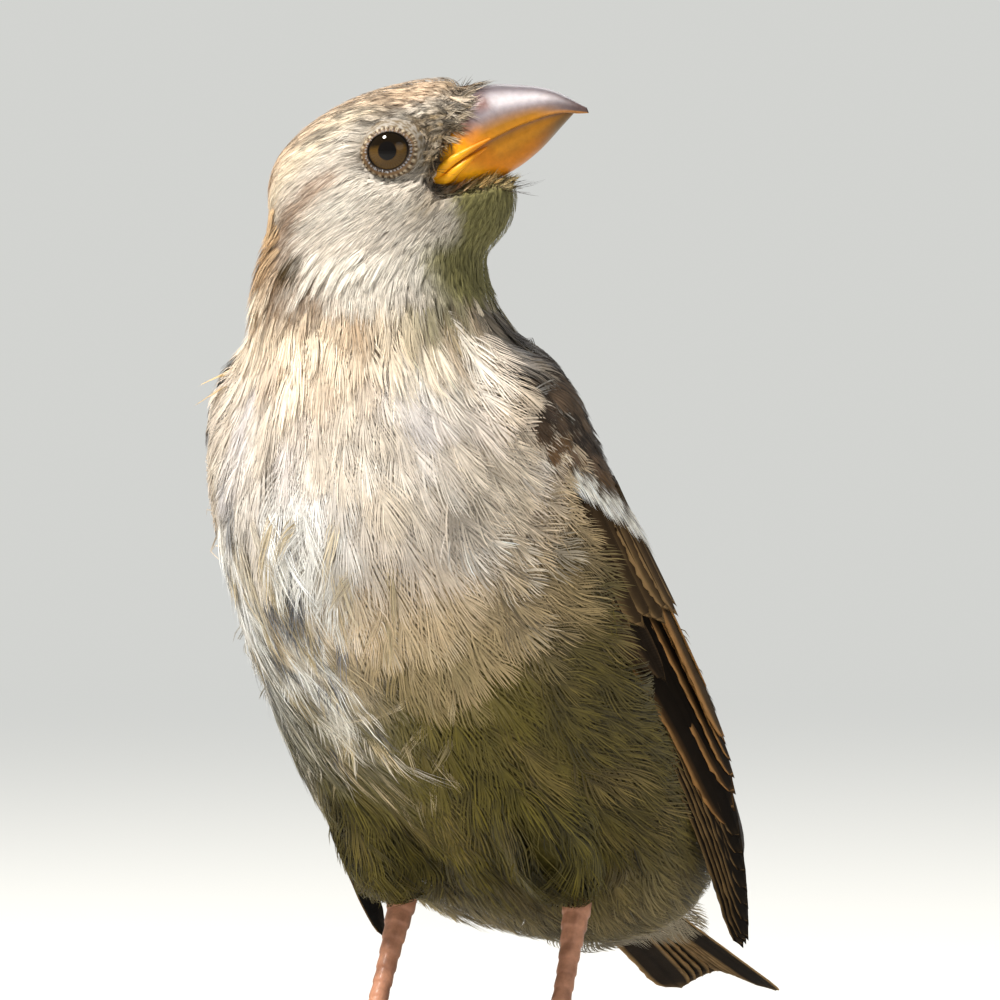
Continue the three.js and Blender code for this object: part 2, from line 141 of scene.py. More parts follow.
def unit(v):
    return v / np.maximum(np.linalg.norm(v, axis=-1, keepdims=True), 1e-9)


def mix(a, b, t):
    t = np.asarray(t)
    if np.ndim(a) > np.ndim(t) or np.ndim(b) > np.ndim(t):
        t = t[..., None]
    return a * (1 - t) + b * t


def filled(tone, count):
    """The same tone for each of count points."""
    return np.tile(tone, (count, 1))


def colour(code):
    """Linear colour from a painter's hex code."""
    value = np.array([int(code[i:i + 2], 16) for i in (0, 2, 4)]) / 255
    return np.where(value < 0.04045, value / 12.92, ((value + 0.055) / 1.055) ** 2.4)


def curve(x, xs, ys):
    """Smooth curve through a few named points."""
    xs, ys = np.asarray(xs, float), np.asarray(ys, float)
    slope = np.gradient(ys, xs)
    i = np.clip(np.searchsorted(xs, x) - 1, 0, len(xs) - 2)
    width = xs[i + 1] - xs[i]
    t = np.clip((x - xs[i]) / width, 0, 1)
    return ((2 * t ** 3 - 3 * t ** 2 + 1) * ys[i] + (t ** 3 - 2 * t ** 2 + t) * width * slope[i]
            + (3 * t ** 2 - 2 * t ** 3) * ys[i + 1] + (t ** 3 - t ** 2) * width * slope[i + 1])


def waves(points, scale, seed):
    """Smooth noise from a few crossed waves, about -1 to 1."""
    turn = np.random.default_rng(seed)
    total = np.zeros(len(points))
    for _ in range(5):
        direction = unit(turn.normal(size=3)) / scale * turn.uniform(0.6, 1.6)
        total += np.sin(points @ direction * 2 * math.pi + turn.uniform(0, 6.3))
    return total / 3.2


# ---- meshes -------------------------------------------------------------------------------
def add_piece(name, mesh, material, slot, *replaced):
    piece = bpy.data.objects.new(name, mesh)
    bpy.context.scene.collection.objects.link(piece)
    if material is not None:
        mesh.materials.append(material)
    mesh.polygons.foreach_set("use_smooth", np.ones(len(mesh.polygons), bool))
    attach(piece, "root")
    if replaced:
        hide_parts(*replaced)
    return piece


def paint(mesh, colours, name="Tint"):
    layer = mesh.color_attributes.new(name, "FLOAT_COLOR", "POINT")
    full = np.concatenate([np.clip(colours, 0, 1), np.ones((len(colours), 1))], axis=1)
    layer.data.foreach_set("color", full.astype(np.float32).ravel())


def add_map(mesh, name, corners):
    layer = mesh.uv_layers.new(name=name)
    layer.data.foreach_set("uv", corners.astype(np.float32).ravel())


def faces_mesh(name, points, quads, triangles):
    """A mesh from arrays of points, four-cornered faces and three-cornered faces."""
    mesh = bpy.data.meshes.new(name)
    mesh.vertices.add(len(points))
    mesh.vertices.foreach_set("co", metres(points).astype(np.float32).ravel())
    corners = np.concatenate([quads.ravel(), triangles.ravel()]).astype(np.int32)
    totals = np.concatenate([np.full(len(quads), 4), np.full(len(triangles), 3)])
    mesh.loops.add(len(corners))
    mesh.loops.foreach_set("vertex_index", corners)
    mesh.polygons.add(len(totals))
    starts = np.concatenate([[0], np.cumsum(totals)[:-1]]).astype(np.int32)
    mesh.polygons.foreach_set("loop_start", starts)
    mesh.update(calc_edges=True)
    return mesh, corners


# ---- colours of the plumage ---------------------------------------------------------------
CROWN = colour("D4BA9D")
CROWN_DARK = colour("73593F")
BROW = colour("D4C5AD")
EYE_STRIPE = colour("86664A")
CHEEK = colour("C8BEB0")
CHEEK_PALE = colour("D3CBBE")
EAR_SPOT = colour("3A2C10")
BRISTLE = colour("2A1D12")
LORES = colour("97815F")
NAPE = colour("C4A680")
NECK_BUFF = colour("E6D5BC")
NECK_BROWN = colour("8F6E4A")
# Olive throat: painted shade with painted green reflected light, in place of the throat's own pale buff.
THROAT_OLIVE_SHADE = colour("7A7448")
BREAST = colour("D5C8B7")
BREAST_LILAC = colour("D6CFCE")
SIDE_TAN = colour("CBAA72")
# Belly and flank: their own buff-brown, darkened and turned olive by painted shade and painted green
# reflected light.
BELLY_IN_SHADE = colour("5C521A")
FLANK_IN_SHADE = colour("54491D")
DOWN_WHITE = colour("F4F2ED")
DOWN_GREY = colour("56565C")
VENT = colour("8F7F56")
MANTLE = colour("6A5540")
MANTLE_BLACK = colour("2B211A")
MANTLE_BUFF = colour("C4A87F")
RUMP = colour("8C7C66")
LOCK_TAN = colour("C6B490")
SLATE = colour("4C4843")


def head_marks(points):
    """Colour of the head's feather tips."""
    a, p, left = head_coordinates(points)
    streak = waves(np.stack([a * 0.25, p * 2.2, left * 2.2], 1), 2.4, 5)
    tone = mix(filled(CROWN, len(a)), CROWN_DARK, 0.35 * smooth(streak, 0.1, 0.9))
    brow_line = np.interp(a, [-12, -9.4, -6, -0.5, 2.5, 5], [0.0, 1.8, 4.4, 6.7, 6.9, 6.4])
    brow = np.exp(-((p - brow_line) / np.interp(a, [-10, 0, 4], [1.5, 1.25, 0.7])) ** 2)
    brow *= smooth(a, 6.0, 2.0) * smooth(a, -13.5, -9.5)
    below = smooth(p, brow_line + 0.3, brow_line - 1.2)
    cheek = mix(filled(CHEEK, len(a)), CHEEK_PALE, smooth(waves(points, 4.5, 9), -0.4, 0.9))
    cheek = mix(cheek, CHEEK_PALE, np.exp(-((p + 8.6 + 0.1 * a) / 1.6) ** 2) * 0.8)
    tone = mix(tone, cheek, below)
    stripe_line = np.interp(a, [-12, -9, -4.2, -1.5, 1], [-4.6, -1.4, 1.5, 2.4, 2.6])
    stripe = np.exp(-((p - stripe_line) / np.interp(a, [-11, -4, 0], [2.1, 1.3, 0.6])) ** 2)
    stripe *= smooth(a, 0.6, -1.6) * (0.45 + 0.55 * smooth(waves(points, 1.6, 79), -0.5, 0.4))
    tone = mix(tone, EYE_STRIPE, 0.75 * stripe)
    rear = smooth(a, -4.5, -8.0) * smooth(waves(points * np.array([1.6, 1.6, 0.7]), 1.4, 87), -0.5, 0.5)
    tone = mix(tone, EYE_STRIPE, 0.5 * rear)
    spot = np.exp(-((a + 8.75) / 1.6) ** 2 - ((p + 4.35 - 0.3 * (a + 8.75)) / 0.95) ** 2)
    spot *= smooth(np.abs(left), 1.0, 3.5)
    ragged = 1.2 + 0.9 * waves(points * np.array([1.0, 1.0, 0.5]), 1.1, 83)
    tone = mix(tone, EAR_SPOT, np.clip(1.5 * spot * ragged, 0, 1))
    speckle = smooth(waves(points, 0.9, 77), -0.5, 0.5)
    lores = smooth(a, 5.0, 6.6) * smooth(np.abs(p - 1.8), 4.2, 2.0)
    tone = mix(tone, LORES, lores * (0.55 + 0.4 * speckle))
    malar = smooth(a, 2.5, 5.5) * np.exp(-((p + 3.6 - 0.25 * (a - 5)) / 1.5) ** 2)
    tone = mix(tone, LORES, malar * (0.3 + 0.4 * speckle))
    forehead = smooth(a, 8.5, 11.5) * smooth(p, 4.0, 6.0)
    tone = mix(tone, LORES, 0.6 * forehead)
    tone = mix(tone, BROW, np.clip(1.1 * brow, 0, 1))
    # Chin and the part under the bill get the throat's painted olive shade.
    shaded_chin = smooth(p, -6.0, -9.0) * smooth(a, 1.0, 5.0) + smooth(a, 6.5, 8.5) * smooth(p, -2.0, -3.4)
    tone = mix(tone, THROAT_OLIVE_SHADE, np.clip(shaded_chin, 0, 1))
    back = smooth(a, -8.0, -11.0) * smooth(np.abs(left), 7.5, 5.0)
    tone = mix(tone, NAPE, back * (1 - spot))
    return tone


def parted_down(points):
    """Where the belly's feathers are parted and its down shows, on the bird's own right side."""
    x, z = points[:, 0], points[:, 2]
    side = np.exp(-((x + 13.5) / 5.5) ** 2 - ((z - 45.0) / 12.0) ** 2)
    middle = np.exp(-((x + 2.5) / 5.5) ** 4 - ((z - 51.5) / 5.0) ** 4)
    lower = np.exp(-((x + 4.0) / 2.6) ** 2 - ((z - 40.0) / 8.0) ** 2)
    reach = np.maximum(np.maximum(side, 0.9 * middle), 0.8 * lower)
    return reach * smooth(body_coordinates(points)[1], 2.0, 1.5)


def body_marks(points):
    """Colour of the body's feather tips."""
    along, angle, _ = body_coordinates(points)
    side = np.abs(points[:, 0])
    n = len(points)
    patch = smooth(waves(points, 9.0, 3), -0.6, 0.9)
    breast = mix(filled(BREAST, n), BREAST_LILAC, patch * 0.8 * smooth(along, 40, 24))
    breast = mix(breast, SIDE_TAN, 0.4 * smooth(angle, 0.85, 1.55) * smooth(along, 5, 22))
    breast = mix(breast, SIDE_TAN, 0.65 * smooth(along, 24, 40))
    # Painted light: a whiter pool of light on the upper breast.
    breast_light_pool = np.exp(-((points[:, 0] - 10) / 5.0) ** 2 - ((points[:, 2] - 70.5) / 4.5) ** 2)
    breast = mix(breast, DOWN_WHITE, 0.7 * breast_light_pool)
    # Lower breast and belly take the colours with painted shade and green reflected light in them.
    belly = mix(filled(BELLY_IN_SHADE, n), FLANK_IN_SHADE, smooth(angle, 0.6, 1.3))
    ruffle = 3.0 * waves(points, 7.0, 55)
    lower = smooth(along + ruffle + 4 * (angle - 0.5) * (points[:, 0] > 0), 32, 52)
    tone = mix(breast, belly, lower)
    tone = mix(tone, VENT, smooth(along, 74, 88) * smooth(angle, 1.7, 1.0))
    # disarranged patch on the bird's own right side, where pale down shows
    down = parted_down(points)
    streaky = smooth(waves(points * np.array([2.0, 1.0, 0.45]), 4.0, 21), -0.2, 0.45)
    tone = mix(tone, mix(filled(DOWN_WHITE, n), DOWN_GREY, 0.6 * streaky), 0.85 * down)
    # back, streaked in rows
    mantle = mix(filled(MANTLE, n), MANTLE_BUFF, smooth(np.sin(side * 1.25 + 0.6), 0.35, 0.95))
    tone = mix(tone, mantle, smooth(angle, 1.65, 2.0) * smooth(along, 14, 22))
    tone = mix(tone, RUMP, smooth(along, 52, 64) * smooth(angle, 1.8, 2.2))
    slate = mix(filled(SLATE, n), MANTLE_BLACK, smooth(waves(points, 2.5, 91), -0.3, 0.5))
    shoulder = smooth(angle, 1.42, 1.62) * smooth(along, 7, 12) * smooth(along, 32, 22)
    # neck
    band = smooth(waves(points * np.array([1, 1, 0.5]), 4.0, 33), 0.0, 0.8)
    neck = mix(filled(NECK_BUFF, n), NECK_BROWN, 0.55 * band)
    neck = mix(neck, NAPE, 0.8 * smooth(angle, 1.9, 2.5))
    # Painted shadow: a brown band under the cheek's lower edge, where the cheek overhangs the neck.
    cheek_shadow = np.exp(-((points[:, 2] - 78.2 + 0.06 * points[:, 0]) / 1.3) ** 2) * smooth(points[:, 0], 7, 1)
    neck = mix(neck, NECK_BROWN, 0.6 * cheek_shadow)
    # Painted shade with green reflected light on the front of the throat, on the bird's left.
    throat_shade = smooth(points[:, 0], 5.0, 10.0) * smooth(angle, 1.5, 0.9) * smooth(points[:, 2], 73, 78)
    neck = mix(neck, THROAT_OLIVE_SHADE, 0.8 * throat_shade)
    return mix(mix(tone, neck, smooth(along, 19, 11)), slate, 0.85 * shoulder)


def marks(points):
    """Colour of the feather tips anywhere on the bird."""
    x, y, z = points.T
    tone = mix(body_marks(points), head_marks(points), smooth(z, 77.0, 80.0))
    # painted shadow: a dark brown line under the pale cheek, where the cheek overhangs the neck
    line = np.exp(-((z - 79.4 - 0.1 * (x + 6)) / 1.3) ** 2) * smooth(x, 3, -2) * smooth(y, 10, 2)
    streaky = smooth(waves(points * np.array([1.0, 1.0, 0.4]), 1.3, 85), -0.6, 0.3)
    tone = mix(tone, NECK_BROWN * 0.6, 0.9 * line * streaky)
    wash = smooth(x, -3.5, -6.5) * np.exp(-((z - 82.5) / 3.0) ** 2) * smooth(y, 9, 4)
    return mix(tone, NECK_BROWN, 0.6 * wash * (0.3 + 0.7 * streaky))


# ---- the skin -----------------------------------------------------------------------------
FLESH = ["head", "neck", "trunk", "thigh_left", "thigh_right"]
VOXEL = 0.6
SEAM_CLOSE = 0.28
SOCKET_DIP = 0.3
ENVELOPE_GROW = 0.5
ENVELOPE_SINK = 1.2


def coat_depth(points):
    """How far the skin lies below the feather tips."""
    a, _, _ = head_coordinates(points)
    along, _, _ = body_coordinates(points)
    depth = np.interp(along, [4, 14, 24, 60, 80, 95], [1.0, 1.6, 2.3, 2.5, 2.2, 1.6])
    thigh = smooth(points[:, 2], 23, 19) * smooth(np.abs(points[:, 0]), 4, 7)
    depth = mix(depth, 1.0, thigh * smooth(points[:, 1], 38, 33))
    on_head = smooth(points[:, 2], 79.0, 84.0)
    head = np.interp(a, [-12, -4, 3, 8], [1.15, 0.95, 0.7, 0.42])
    return mix(depth, head, on_head)


def evaluated(obj):
    graph = bpy.context.evaluated_depsgraph_get()
    return bpy.data.meshes.new_from_object(obj.evaluated_get(graph))


def soften(bm, passes):
    for _ in range(passes):
        bmesh.ops.smooth_vert(bm, verts=bm.verts, factor=0.5, use_axis_x=True,
                              use_axis_y=True, use_axis_z=True)


def closed_surface(bm, voxel, passes):
    """One even closed mesh over everything in bm, smoothed."""
    mesh = bpy.data.meshes.new("source")
    bm.to_mesh(mesh)
    bm.free()
    source = bpy.data.objects.new("source", mesh)
    bpy.context.scene.collection.objects.link(source)
    remesh = source.modifiers.new("close", "REMESH")
    remesh.mode = "VOXEL"
    remesh.voxel_size = voxel * MM
    closed = evaluated(source)
    bpy.data.objects.remove(source)
    bm = bmesh.new()
    bm.from_mesh(closed)
    soften(bm, passes)
    bm.to_mesh(closed)
    bm.free()
    return closed


def node_tree_of(*nodes):
    """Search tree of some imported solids."""
    bm = bmesh.new()
    for name in nodes:
        bm.from_mesh(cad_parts[name].data)
    tree = BVHTree.FromBMesh(bm)
    bm.free()
    return tree


def meet_bill(bm):
    """Draws the skin round the bill up against it."""
    tree = node_tree_of("bill_upper", "bill_lower")
    for v in bm.verts:
        spot, normal, _, gap = tree.find_nearest(v.co, 2.2 * MM)
        if spot is not None:
            pull = float(smooth(gap / MM, 2.0, 1.1))
            v.co = v.co.lerp(spot - normal * (0.12 * MM), pull)


def fill_sockets(bm):
    """Levels the skin round each eye to a shallow dish that the ball comes through."""
    places = own(np.array([v.co for v in bm.verts]))
    a, p, left = head_coordinates(places)
    across, up = a - EYE_FORWARD, p - EYE_UP
    reach = np.hypot(across, up)
    for side in (-1, 1):
        out = left * side
        ring = (reach > 4.3) & (reach < 5.2) & (out > 4)
        fit = np.stack([np.ones(ring.sum()), across[ring], up[ring]], 1)
        level = np.linalg.lstsq(fit, out[ring], rcond=None)[0]
        disc = np.flatnonzero((reach < 4.6) & (out > 1.5))
        target = level[0] + level[1] * across[disc] + level[2] * up[disc]
        target -= SOCKET_DIP * (1 - smooth(reach[disc], 2.2, 4.4))
        blend = smooth(reach[disc], 4.6, 3.7)
        moved = mix(out[disc], target, blend)
        spots = metres(head_point(a[disc], p[disc], moved * side))
        for i, spot in zip(disc, spots):
            bm.verts[i].co = spot


def build_skin():
    bm = bmesh.new()
    for node in FLESH:
        bm.from_mesh(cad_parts[node].data)
    bmesh.ops.remove_doubles(bm, verts=bm.verts, dist=1e-6)
    bm.normal_update()
    for v in bm.verts:
        v.co += v.normal * SEAM_CLOSE * MM
    closed = closed_surface(bm, VOXEL, 6)
    bm = bmesh.new()
    bm.from_mesh(closed)
    bm.verts.ensure_lookup_table()
    bm.normal_update()
    places = own(np.array([v.co for v in bm.verts]))
    depth = coat_depth(places) + SEAM_CLOSE
    for v, d in zip(bm.verts, depth):
        v.co -= v.normal * (float(d) * MM)
    soften(bm, 4)
    meet_bill(bm)
    fill_sockets(bm)
    skin = bpy.data.meshes.new("skin")
    bm.to_mesh(skin)
    bm.free()
    return skin


skin_mesh = build_skin()
print("skin", len(skin_mesh.vertices), len(skin_mesh.polygons))


# ---- unwrap of the bird's own shape -------------------------------------------------------
def unwrap(points):
    """Body: round the spine and along it. Head: round its own axis and along that."""
    along, angle, _ = body_coordinates(points)
    turn = np.where(points[:, 0] > 0, angle, -angle) / (2 * math.pi) + 0.5
    body = np.stack([0.02 + 0.96 * turn, 0.02 + 0.56 * np.clip(along / SPINE_LENGTH, 0, 1)], 1)
    a, p, left = head_coordinates(points)
    turn = np.arctan2(left, p + 0.8) / (2 * math.pi) + 0.5
    head = np.stack([0.02 + 0.96 * turn, 0.62 + 0.36 * np.clip((a + 13) / 28, 0, 1)], 1)
    return np.where((points[:, 2] > 81.5)[:, None], head, body)


# ---- the lie of the feathers --------------------------------------------------------------
def lie(points, normals):
    """Direction in which the feathers point, tangent to the skin."""
    along, angle, heading = body_coordinates(points)
    outward = normals - (normals * heading).sum(1)[:, None] * heading
    round_way = unit(np.cross(heading, outward))
    dorsal = np.array([0.0, 0.0, 1.0]) * heading[:, 1:2] - np.array([0.0, 1.0, 0.0]) * heading[:, 2:3]
    round_way *= np.sign((round_way * dorsal).sum(1) + 1e-9)[:, None]
    outward_sweep = np.interp(angle, [0, 0.3, 0.7, 1.25, 1.7, 2.2], [-0.1, 0.05, 0.45, 0.95, 0.7, 0.1])
    outward_sweep *= np.interp(along, [8, 22, 34, 62, 80], [0.1, 0.75, 1.0, 0.5, 0.1])
    inward_sweep = np.interp(angle, [0, 0.9, 1.5, 1.9], [-0.3, -0.5, -0.15, 0])
    parted = smooth(points[:, 0], 4.0, -1.0) * smooth(along, 26, 36) * smooth(along, 72, 58)
    sweep = mix(outward_sweep, inward_sweep, parted)
    body = heading + round_way * sweep[:, None]
    base = head_point(9.5, 0.6, 0.0)
    from_bill = unit(points - base)
    head = from_bill * 0.75 - HEAD_FORWARD * 0.55 + np.array([0, 0, -0.22])
    thigh = np.exp(-((np.abs(points[:, 0]) - 9.5) / 5.5) ** 4 - ((points[:, 1] - 27) / 8.0) ** 4)
    body = mix(body, np.array([0.0, 0.25, -1.0]), 0.85 * thigh * smooth(points[:, 2], 29.0, 23.0))
    flow = mix(body, unit(head), smooth(points[:, 2], 77.0, 86.0))
    flow = flow - (flow * normals).sum(1)[:, None] * normals
    return unit(flow)


def build_tree(mesh):
    verts = [v.co.copy() for v in mesh.vertices]
    polygons = [tuple(p.vertices) for p in mesh.polygons]
    return BVHTree.FromPolygons(verts, polygons)


def onto(tree, points):
    """Nearest places on a surface, and the normals there."""
    places = np.empty_like(points)
    normals = np.empty_like(points)
    for i, point in enumerate(metres(points)):
        place, normal, _, _ = tree.find_nearest(Vector(point))
        places[i] = place
        normals[i] = normal
    return own(places), normals


skin_tree = build_tree(skin_mesh)


def build_envelope():
    """Neck, trunk and folded wings as one surface, for the feathers that cross from one to another."""
    wings = ("wing_left_coverts", "wing_right_coverts", "wing_left_secondaries",
             "wing_right_secondaries")
    bm = bmesh.new()
    for name in ("neck", "trunk") + wings:
        bm.from_mesh(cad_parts[name].data)
    bmesh.ops.remove_doubles(bm, verts=bm.verts, dist=1e-6)
    bm.normal_update()
    for v in bm.verts:
        v.co += v.normal * ENVELOPE_GROW * MM
    mesh = closed_surface(bm, 0.9, 5)
    bm = bmesh.new()
    bm.from_mesh(mesh)
    bm.normal_update()
    tree = node_tree_of(*wings)
    for v in bm.verts:
        gap = tree.find_nearest(v.co)[3] / MM
        sink = ENVELOPE_GROW + ENVELOPE_SINK * float(smooth(gap, 0.8, 5.0))
        v.co -= v.normal * (sink * MM)
    soften(bm, 4)
    bm.to_mesh(mesh)
    bm.free()
    return mesh


def vertex_arrays(mesh):
    co = np.empty(len(mesh.vertices) * 3, np.float32)
    mesh.vertices.foreach_get("co", co)
    no = np.empty(len(mesh.vertices) * 3, np.float32)
    mesh.vertices.foreach_get("normal", no)
    return co.reshape(-1, 3).astype(float), no.reshape(-1, 3).astype(float)


def scatter(mesh, spacing, keep, tries, seed):
    """Roots spread over the skin, no nearer to each other than spacing(point)."""
    draw = np.random.default_rng(seed)
    mesh.calc_loop_triangles()
    corners = np.empty(len(mesh.loop_triangles) * 3, np.int32)
    mesh.loop_triangles.foreach_get("vertices", corners)
    co, no = vertex_arrays(mesh)
    tri = corners.reshape(-1, 3)
    a, b, c = (own(co[tri[:, k]]) for k in range(3))
    area = np.linalg.norm(np.cross(b - a, c - a), axis=1) / 2
    weight = area * keep((a + b + c) / 3) / np.maximum(spacing((a + b + c) / 3), 0.1) ** 2
    chosen = draw.choice(len(tri), tries, p=weight / weight.sum())
    u, v = draw.random(tries), draw.random(tries)
    flip = u + v > 1
    u[flip], v[flip] = 1 - u[flip], 1 - v[flip]
    u, v = u[:, None], v[:, None]
    points = a[chosen] * (1 - u - v) + b[chosen] * u + c[chosen] * v
    normals = unit(no[tri[chosen, 0]] * (1 - u - v) + no[tri[chosen, 1]] * u
                   + no[tri[chosen, 2]] * v)
    apart = spacing(points)
    cell = apart.max()
    grid = {}
    kept = []
    keys = np.floor(points / cell).astype(int)
    around = [(i, j, k) for i in (-1, 0, 1) for j in (-1, 0, 1) for k in (-1, 0, 1)]
    for i in range(tries):
        x, y, z = keys[i]
        near = False
        for dx, dy, dz in around:
            for j in grid.get((x + dx, y + dy, z + dz), ()):
                d = points[i] - points[j]
                if d[0] * d[0] + d[1] * d[1] + d[2] * d[2] < apart[i] ** 2:
                    near = True
                    break
            if near:
                break
        if not near:
            grid.setdefault((x, y, z), []).append(i)
            kept.append(i)
    return points[kept], normals[kept]


# ---- feathers as combs of barbs -----------------------------------------------------------
def shafts(tree, roots, directions, lengths, heights, steps, wander=0.0, flare=0.0, seed=1, lying=None):
    """Shaft lines that leave the skin and then lie over it: points, normals and headings."""
    draw = np.random.default_rng(seed)
    n = len(roots)
    points = np.empty((n, steps + 1, 3))
    normals = np.empty((n, steps + 1, 3))
    headings = np.empty((n, steps + 1, 3))
    place, normal = onto(tree, roots)
    heading = directions.copy()
    turn = draw.normal(0, wander, n)
    for k in range(steps + 1):
        f = k / steps
        lift = heights * (0.5 * smooth(f, -0.12, 0.35) + 0.5 * f) + flare * f ** 3 * np.ones(n)
        points[:, k] = place + normal * lift[:, None]
        normals[:, k] = normal
        headings[:, k] = heading
        if k == steps:
            break
        ahead = place + heading * (lengths / steps)[:, None]
        place, normal = onto(tree, ahead)
        flow = (lying or lie)(place, normal)
        heading = unit(mix(heading, flow, 0.5) + np.cross(normal, heading) * turn[:, None] * 0.5)
        heading = unit(heading - (heading * normal).sum(1)[:, None] * normal)
    return points, normals, headings


def along_shaft(values, s):
    """Values of shape (n, steps + 1, 3) read at s of shape (n, ...) from 0 to 1."""
    steps = values.shape[1] - 1
    x = np.clip(s, 0, 1) * steps
    i = np.minimum(x.astype(int), steps - 1)
    f = (x - i)[..., None]
    rows = np.arange(len(values)).reshape((-1,) + (1,) * (s.ndim - 1))
    low, high = values[rows, i], values[rows, i + 1]
    ease = f
    return low * (1 - ease) + high * ease


def barb_feathers(name, shaft, widths, tints, root_map, barbs, segments, shape, seed):
    """One joined mesh: every feather a fan of thin tapering barbs along its shaft."""
    draw = np.random.default_rng(seed)
    points, normals, headings = shaft
    n = len(points)
    j = np.linspace(-1, 1, barbs)[None, :] + draw.normal(0, 0.5 / barbs, (n, barbs))
    j = np.clip(j, -1, 1)
    inner = shape["root"] + shape["spread"] * (1 - np.abs(j)) ** 1.1
    outer = 1 - shape["round"] * np.abs(j) ** 2.3 + draw.normal(0, shape["ragged"], (n, barbs))
    clump = np.sin(j * draw.uniform(4, 9, (n, 1)) + draw.uniform(0, 6.3, (n, 1)))
    clump2 = np.sin(j * draw.uniform(11, 19, (n, 1)) + draw.uniform(0, 6.3, (n, 1)))
    reach = j + shape["clump"] * (0.65 * clump + 0.35 * clump2)
    f = np.linspace(0, 1, segments + 1)[None, None, :]
    s = inner[..., None] + (outer - inner)[..., None] * f
    x = (reach * widths[:, None])[..., None] * (1 - (1 - f) ** shape["sweep"])
    x = x * (1 - shape["pinch"] * f ** 2)
    x = x + (draw.normal(0, shape["stray"], (n, barbs)) * widths[:, None])[..., None] * f ** 2
    over = np.clip(s - 1, 0, None)
    centre = along_shaft(points, s)
    up = unit(along_shaft(normals, s))
    ahead = along_shaft(headings, s)
    side = unit(np.cross(up, ahead))
    length = np.linalg.norm(points[:, -1] - points[:, 0], axis=1)[:, None, None]
    lift = draw.normal(0, shape["lift"], (n, barbs))[..., None] * f ** 2
    cup = shape["cup"] * x ** 2 / np.maximum(widths, 0.3)[:, None, None]
    spot = centre + side * x[..., None] + up * (lift - cup)[..., None]
    spot += ahead * (over * length)[..., None]
    spacing = widths[:, None] * 2 / barbs
    taper = np.interp(f[0, 0], [0, 0.25, 0.7, 1], shape["taper"])
    half = spacing[..., None] * shape["fill"] * taper * draw.uniform(0.75, 1.2, (n, barbs))[..., None]
    roll = draw.normal(0, shape["roll"], (n, barbs))[..., None, None]
    run = unit(np.gradient(spot, axis=2))
    across = unit(np.cross(up, run))
    across = across * np.cos(roll) + np.cross(run, across) * np.sin(roll)
    left = spot - across * half[..., None]
    right = spot + across * half[..., None]
    rows = 2 * segments + 1
    verts = np.empty((n, barbs, rows, 3))
    verts[:, :, 0:2 * segments:2] = left[:, :, :-1]
    verts[:, :, 1:2 * segments:2] = right[:, :, :-1]
    verts[:, :, -1] = spot[:, :, -1]
    strands = n * barbs
    start = (np.arange(strands) * rows)[:, None]
    quad = np.array([[2 * k, 2 * k + 1, 2 * k + 3, 2 * k + 2] for k in range(segments - 1)])
    quads = (start[:, :, None] + quad[None]).reshape(-1, 4)
    last = 2 * (segments - 1)
    triangles = start + np.array([[last, last + 1, last + 2]])
    mesh, corners = faces_mesh(name, verts.reshape(-1, 3), quads, triangles)
    step = np.concatenate([np.repeat(np.arange(segments), 2), [segments]]) / segments
    at = (inner[..., None] + (outer - inner)[..., None] * step).reshape(n, barbs, rows)
    shade = tints(at, np.broadcast_to(j[..., None], at.shape), draw)
    paint(mesh, shade.reshape(-1, 3))
    patch = 0.003
    u = root_map[:, None, None, 0] + patch * 0.5 * np.broadcast_to(j[..., None], at.shape)
    v = root_map[:, None, None, 1] + patch * (at - 0.5)
    add_map(mesh, "OFBake", np.stack([u.reshape(-1), v.reshape(-1)], 1)[corners])
    return mesh


# ---- materials ----------------------------------------------------------------------------
def new_group(name, inputs, outputs):
    group = bpy.data.node_groups.new(name, "ShaderNodeTree")
    for label, kind, value in inputs:
        socket = group.interface.new_socket(label, in_out="INPUT", socket_type=kind)
        socket.default_value = value
    for label, kind in outputs:
        group.interface.new_socket(label, in_out="OUTPUT", socket_type=kind)
    return group, group.nodes.new("NodeGroupInput"), group.nodes.new("NodeGroupOutput")


def node(tree, kind, **settings):
    made = tree.nodes.new(kind)
    for key, value in settings.items():
        setattr(made, key, value)
    return made


def mottle_group():
    """Object-space noise that lightens and darkens a colour."""
    group, inside, out = new_group(
        "mottle",
        [("Color", "NodeSocketColor", (1, 1, 1, 1)), ("Scale", "NodeSocketFloat", 900.0),
         ("Amount", "NodeSocketFloat", 0.2)],
        [("Color", "NodeSocketColor"), ("Mask", "NodeSocketFloat")])
    place = node(group, "ShaderNodeTexCoord")
    noise = node(group, "ShaderNodeTexNoise")
    noise.inputs["Detail"].default_value = 4.0
    noise.inputs["Roughness"].default_value = 0.6
    spread = node(group, "ShaderNodeMapRange")
    spread.inputs["From Min"].default_value = 0.25
    spread.inputs["From Max"].default_value = 0.75
    lower = node(group, "ShaderNodeMath", operation="SUBTRACT")
    lower.inputs[0].default_value = 1.0
    upper = node(group, "ShaderNodeMath", operation="ADD")
    upper.inputs[0].default_value = 1.0
    times = node(group, "ShaderNodeMix", data_type="RGBA", blend_type="MULTIPLY")
    times.inputs["Factor"].default_value = 1.0
    link = group.links.new
    link(place.outputs["Object"], noise.inputs["Vector"])
    link(inside.outputs["Scale"], noise.inputs["Scale"])
    link(noise.outputs["Fac"], spread.inputs["Value"])
    link(inside.outputs["Amount"], lower.inputs[1])
    link(inside.outputs["Amount"], upper.inputs[1])
    link(lower.outputs[0], spread.inputs["To Min"])
    link(upper.outputs[0], spread.inputs["To Max"])
    link(inside.outputs["Color"], times.inputs["A"])
    link(spread.outputs["Result"], times.inputs["B"])
    link(times.outputs["Result"], out.inputs["Color"])
    link(noise.outputs["Fac"], out.inputs["Mask"])
    return group


MOTTLE = mottle_group()


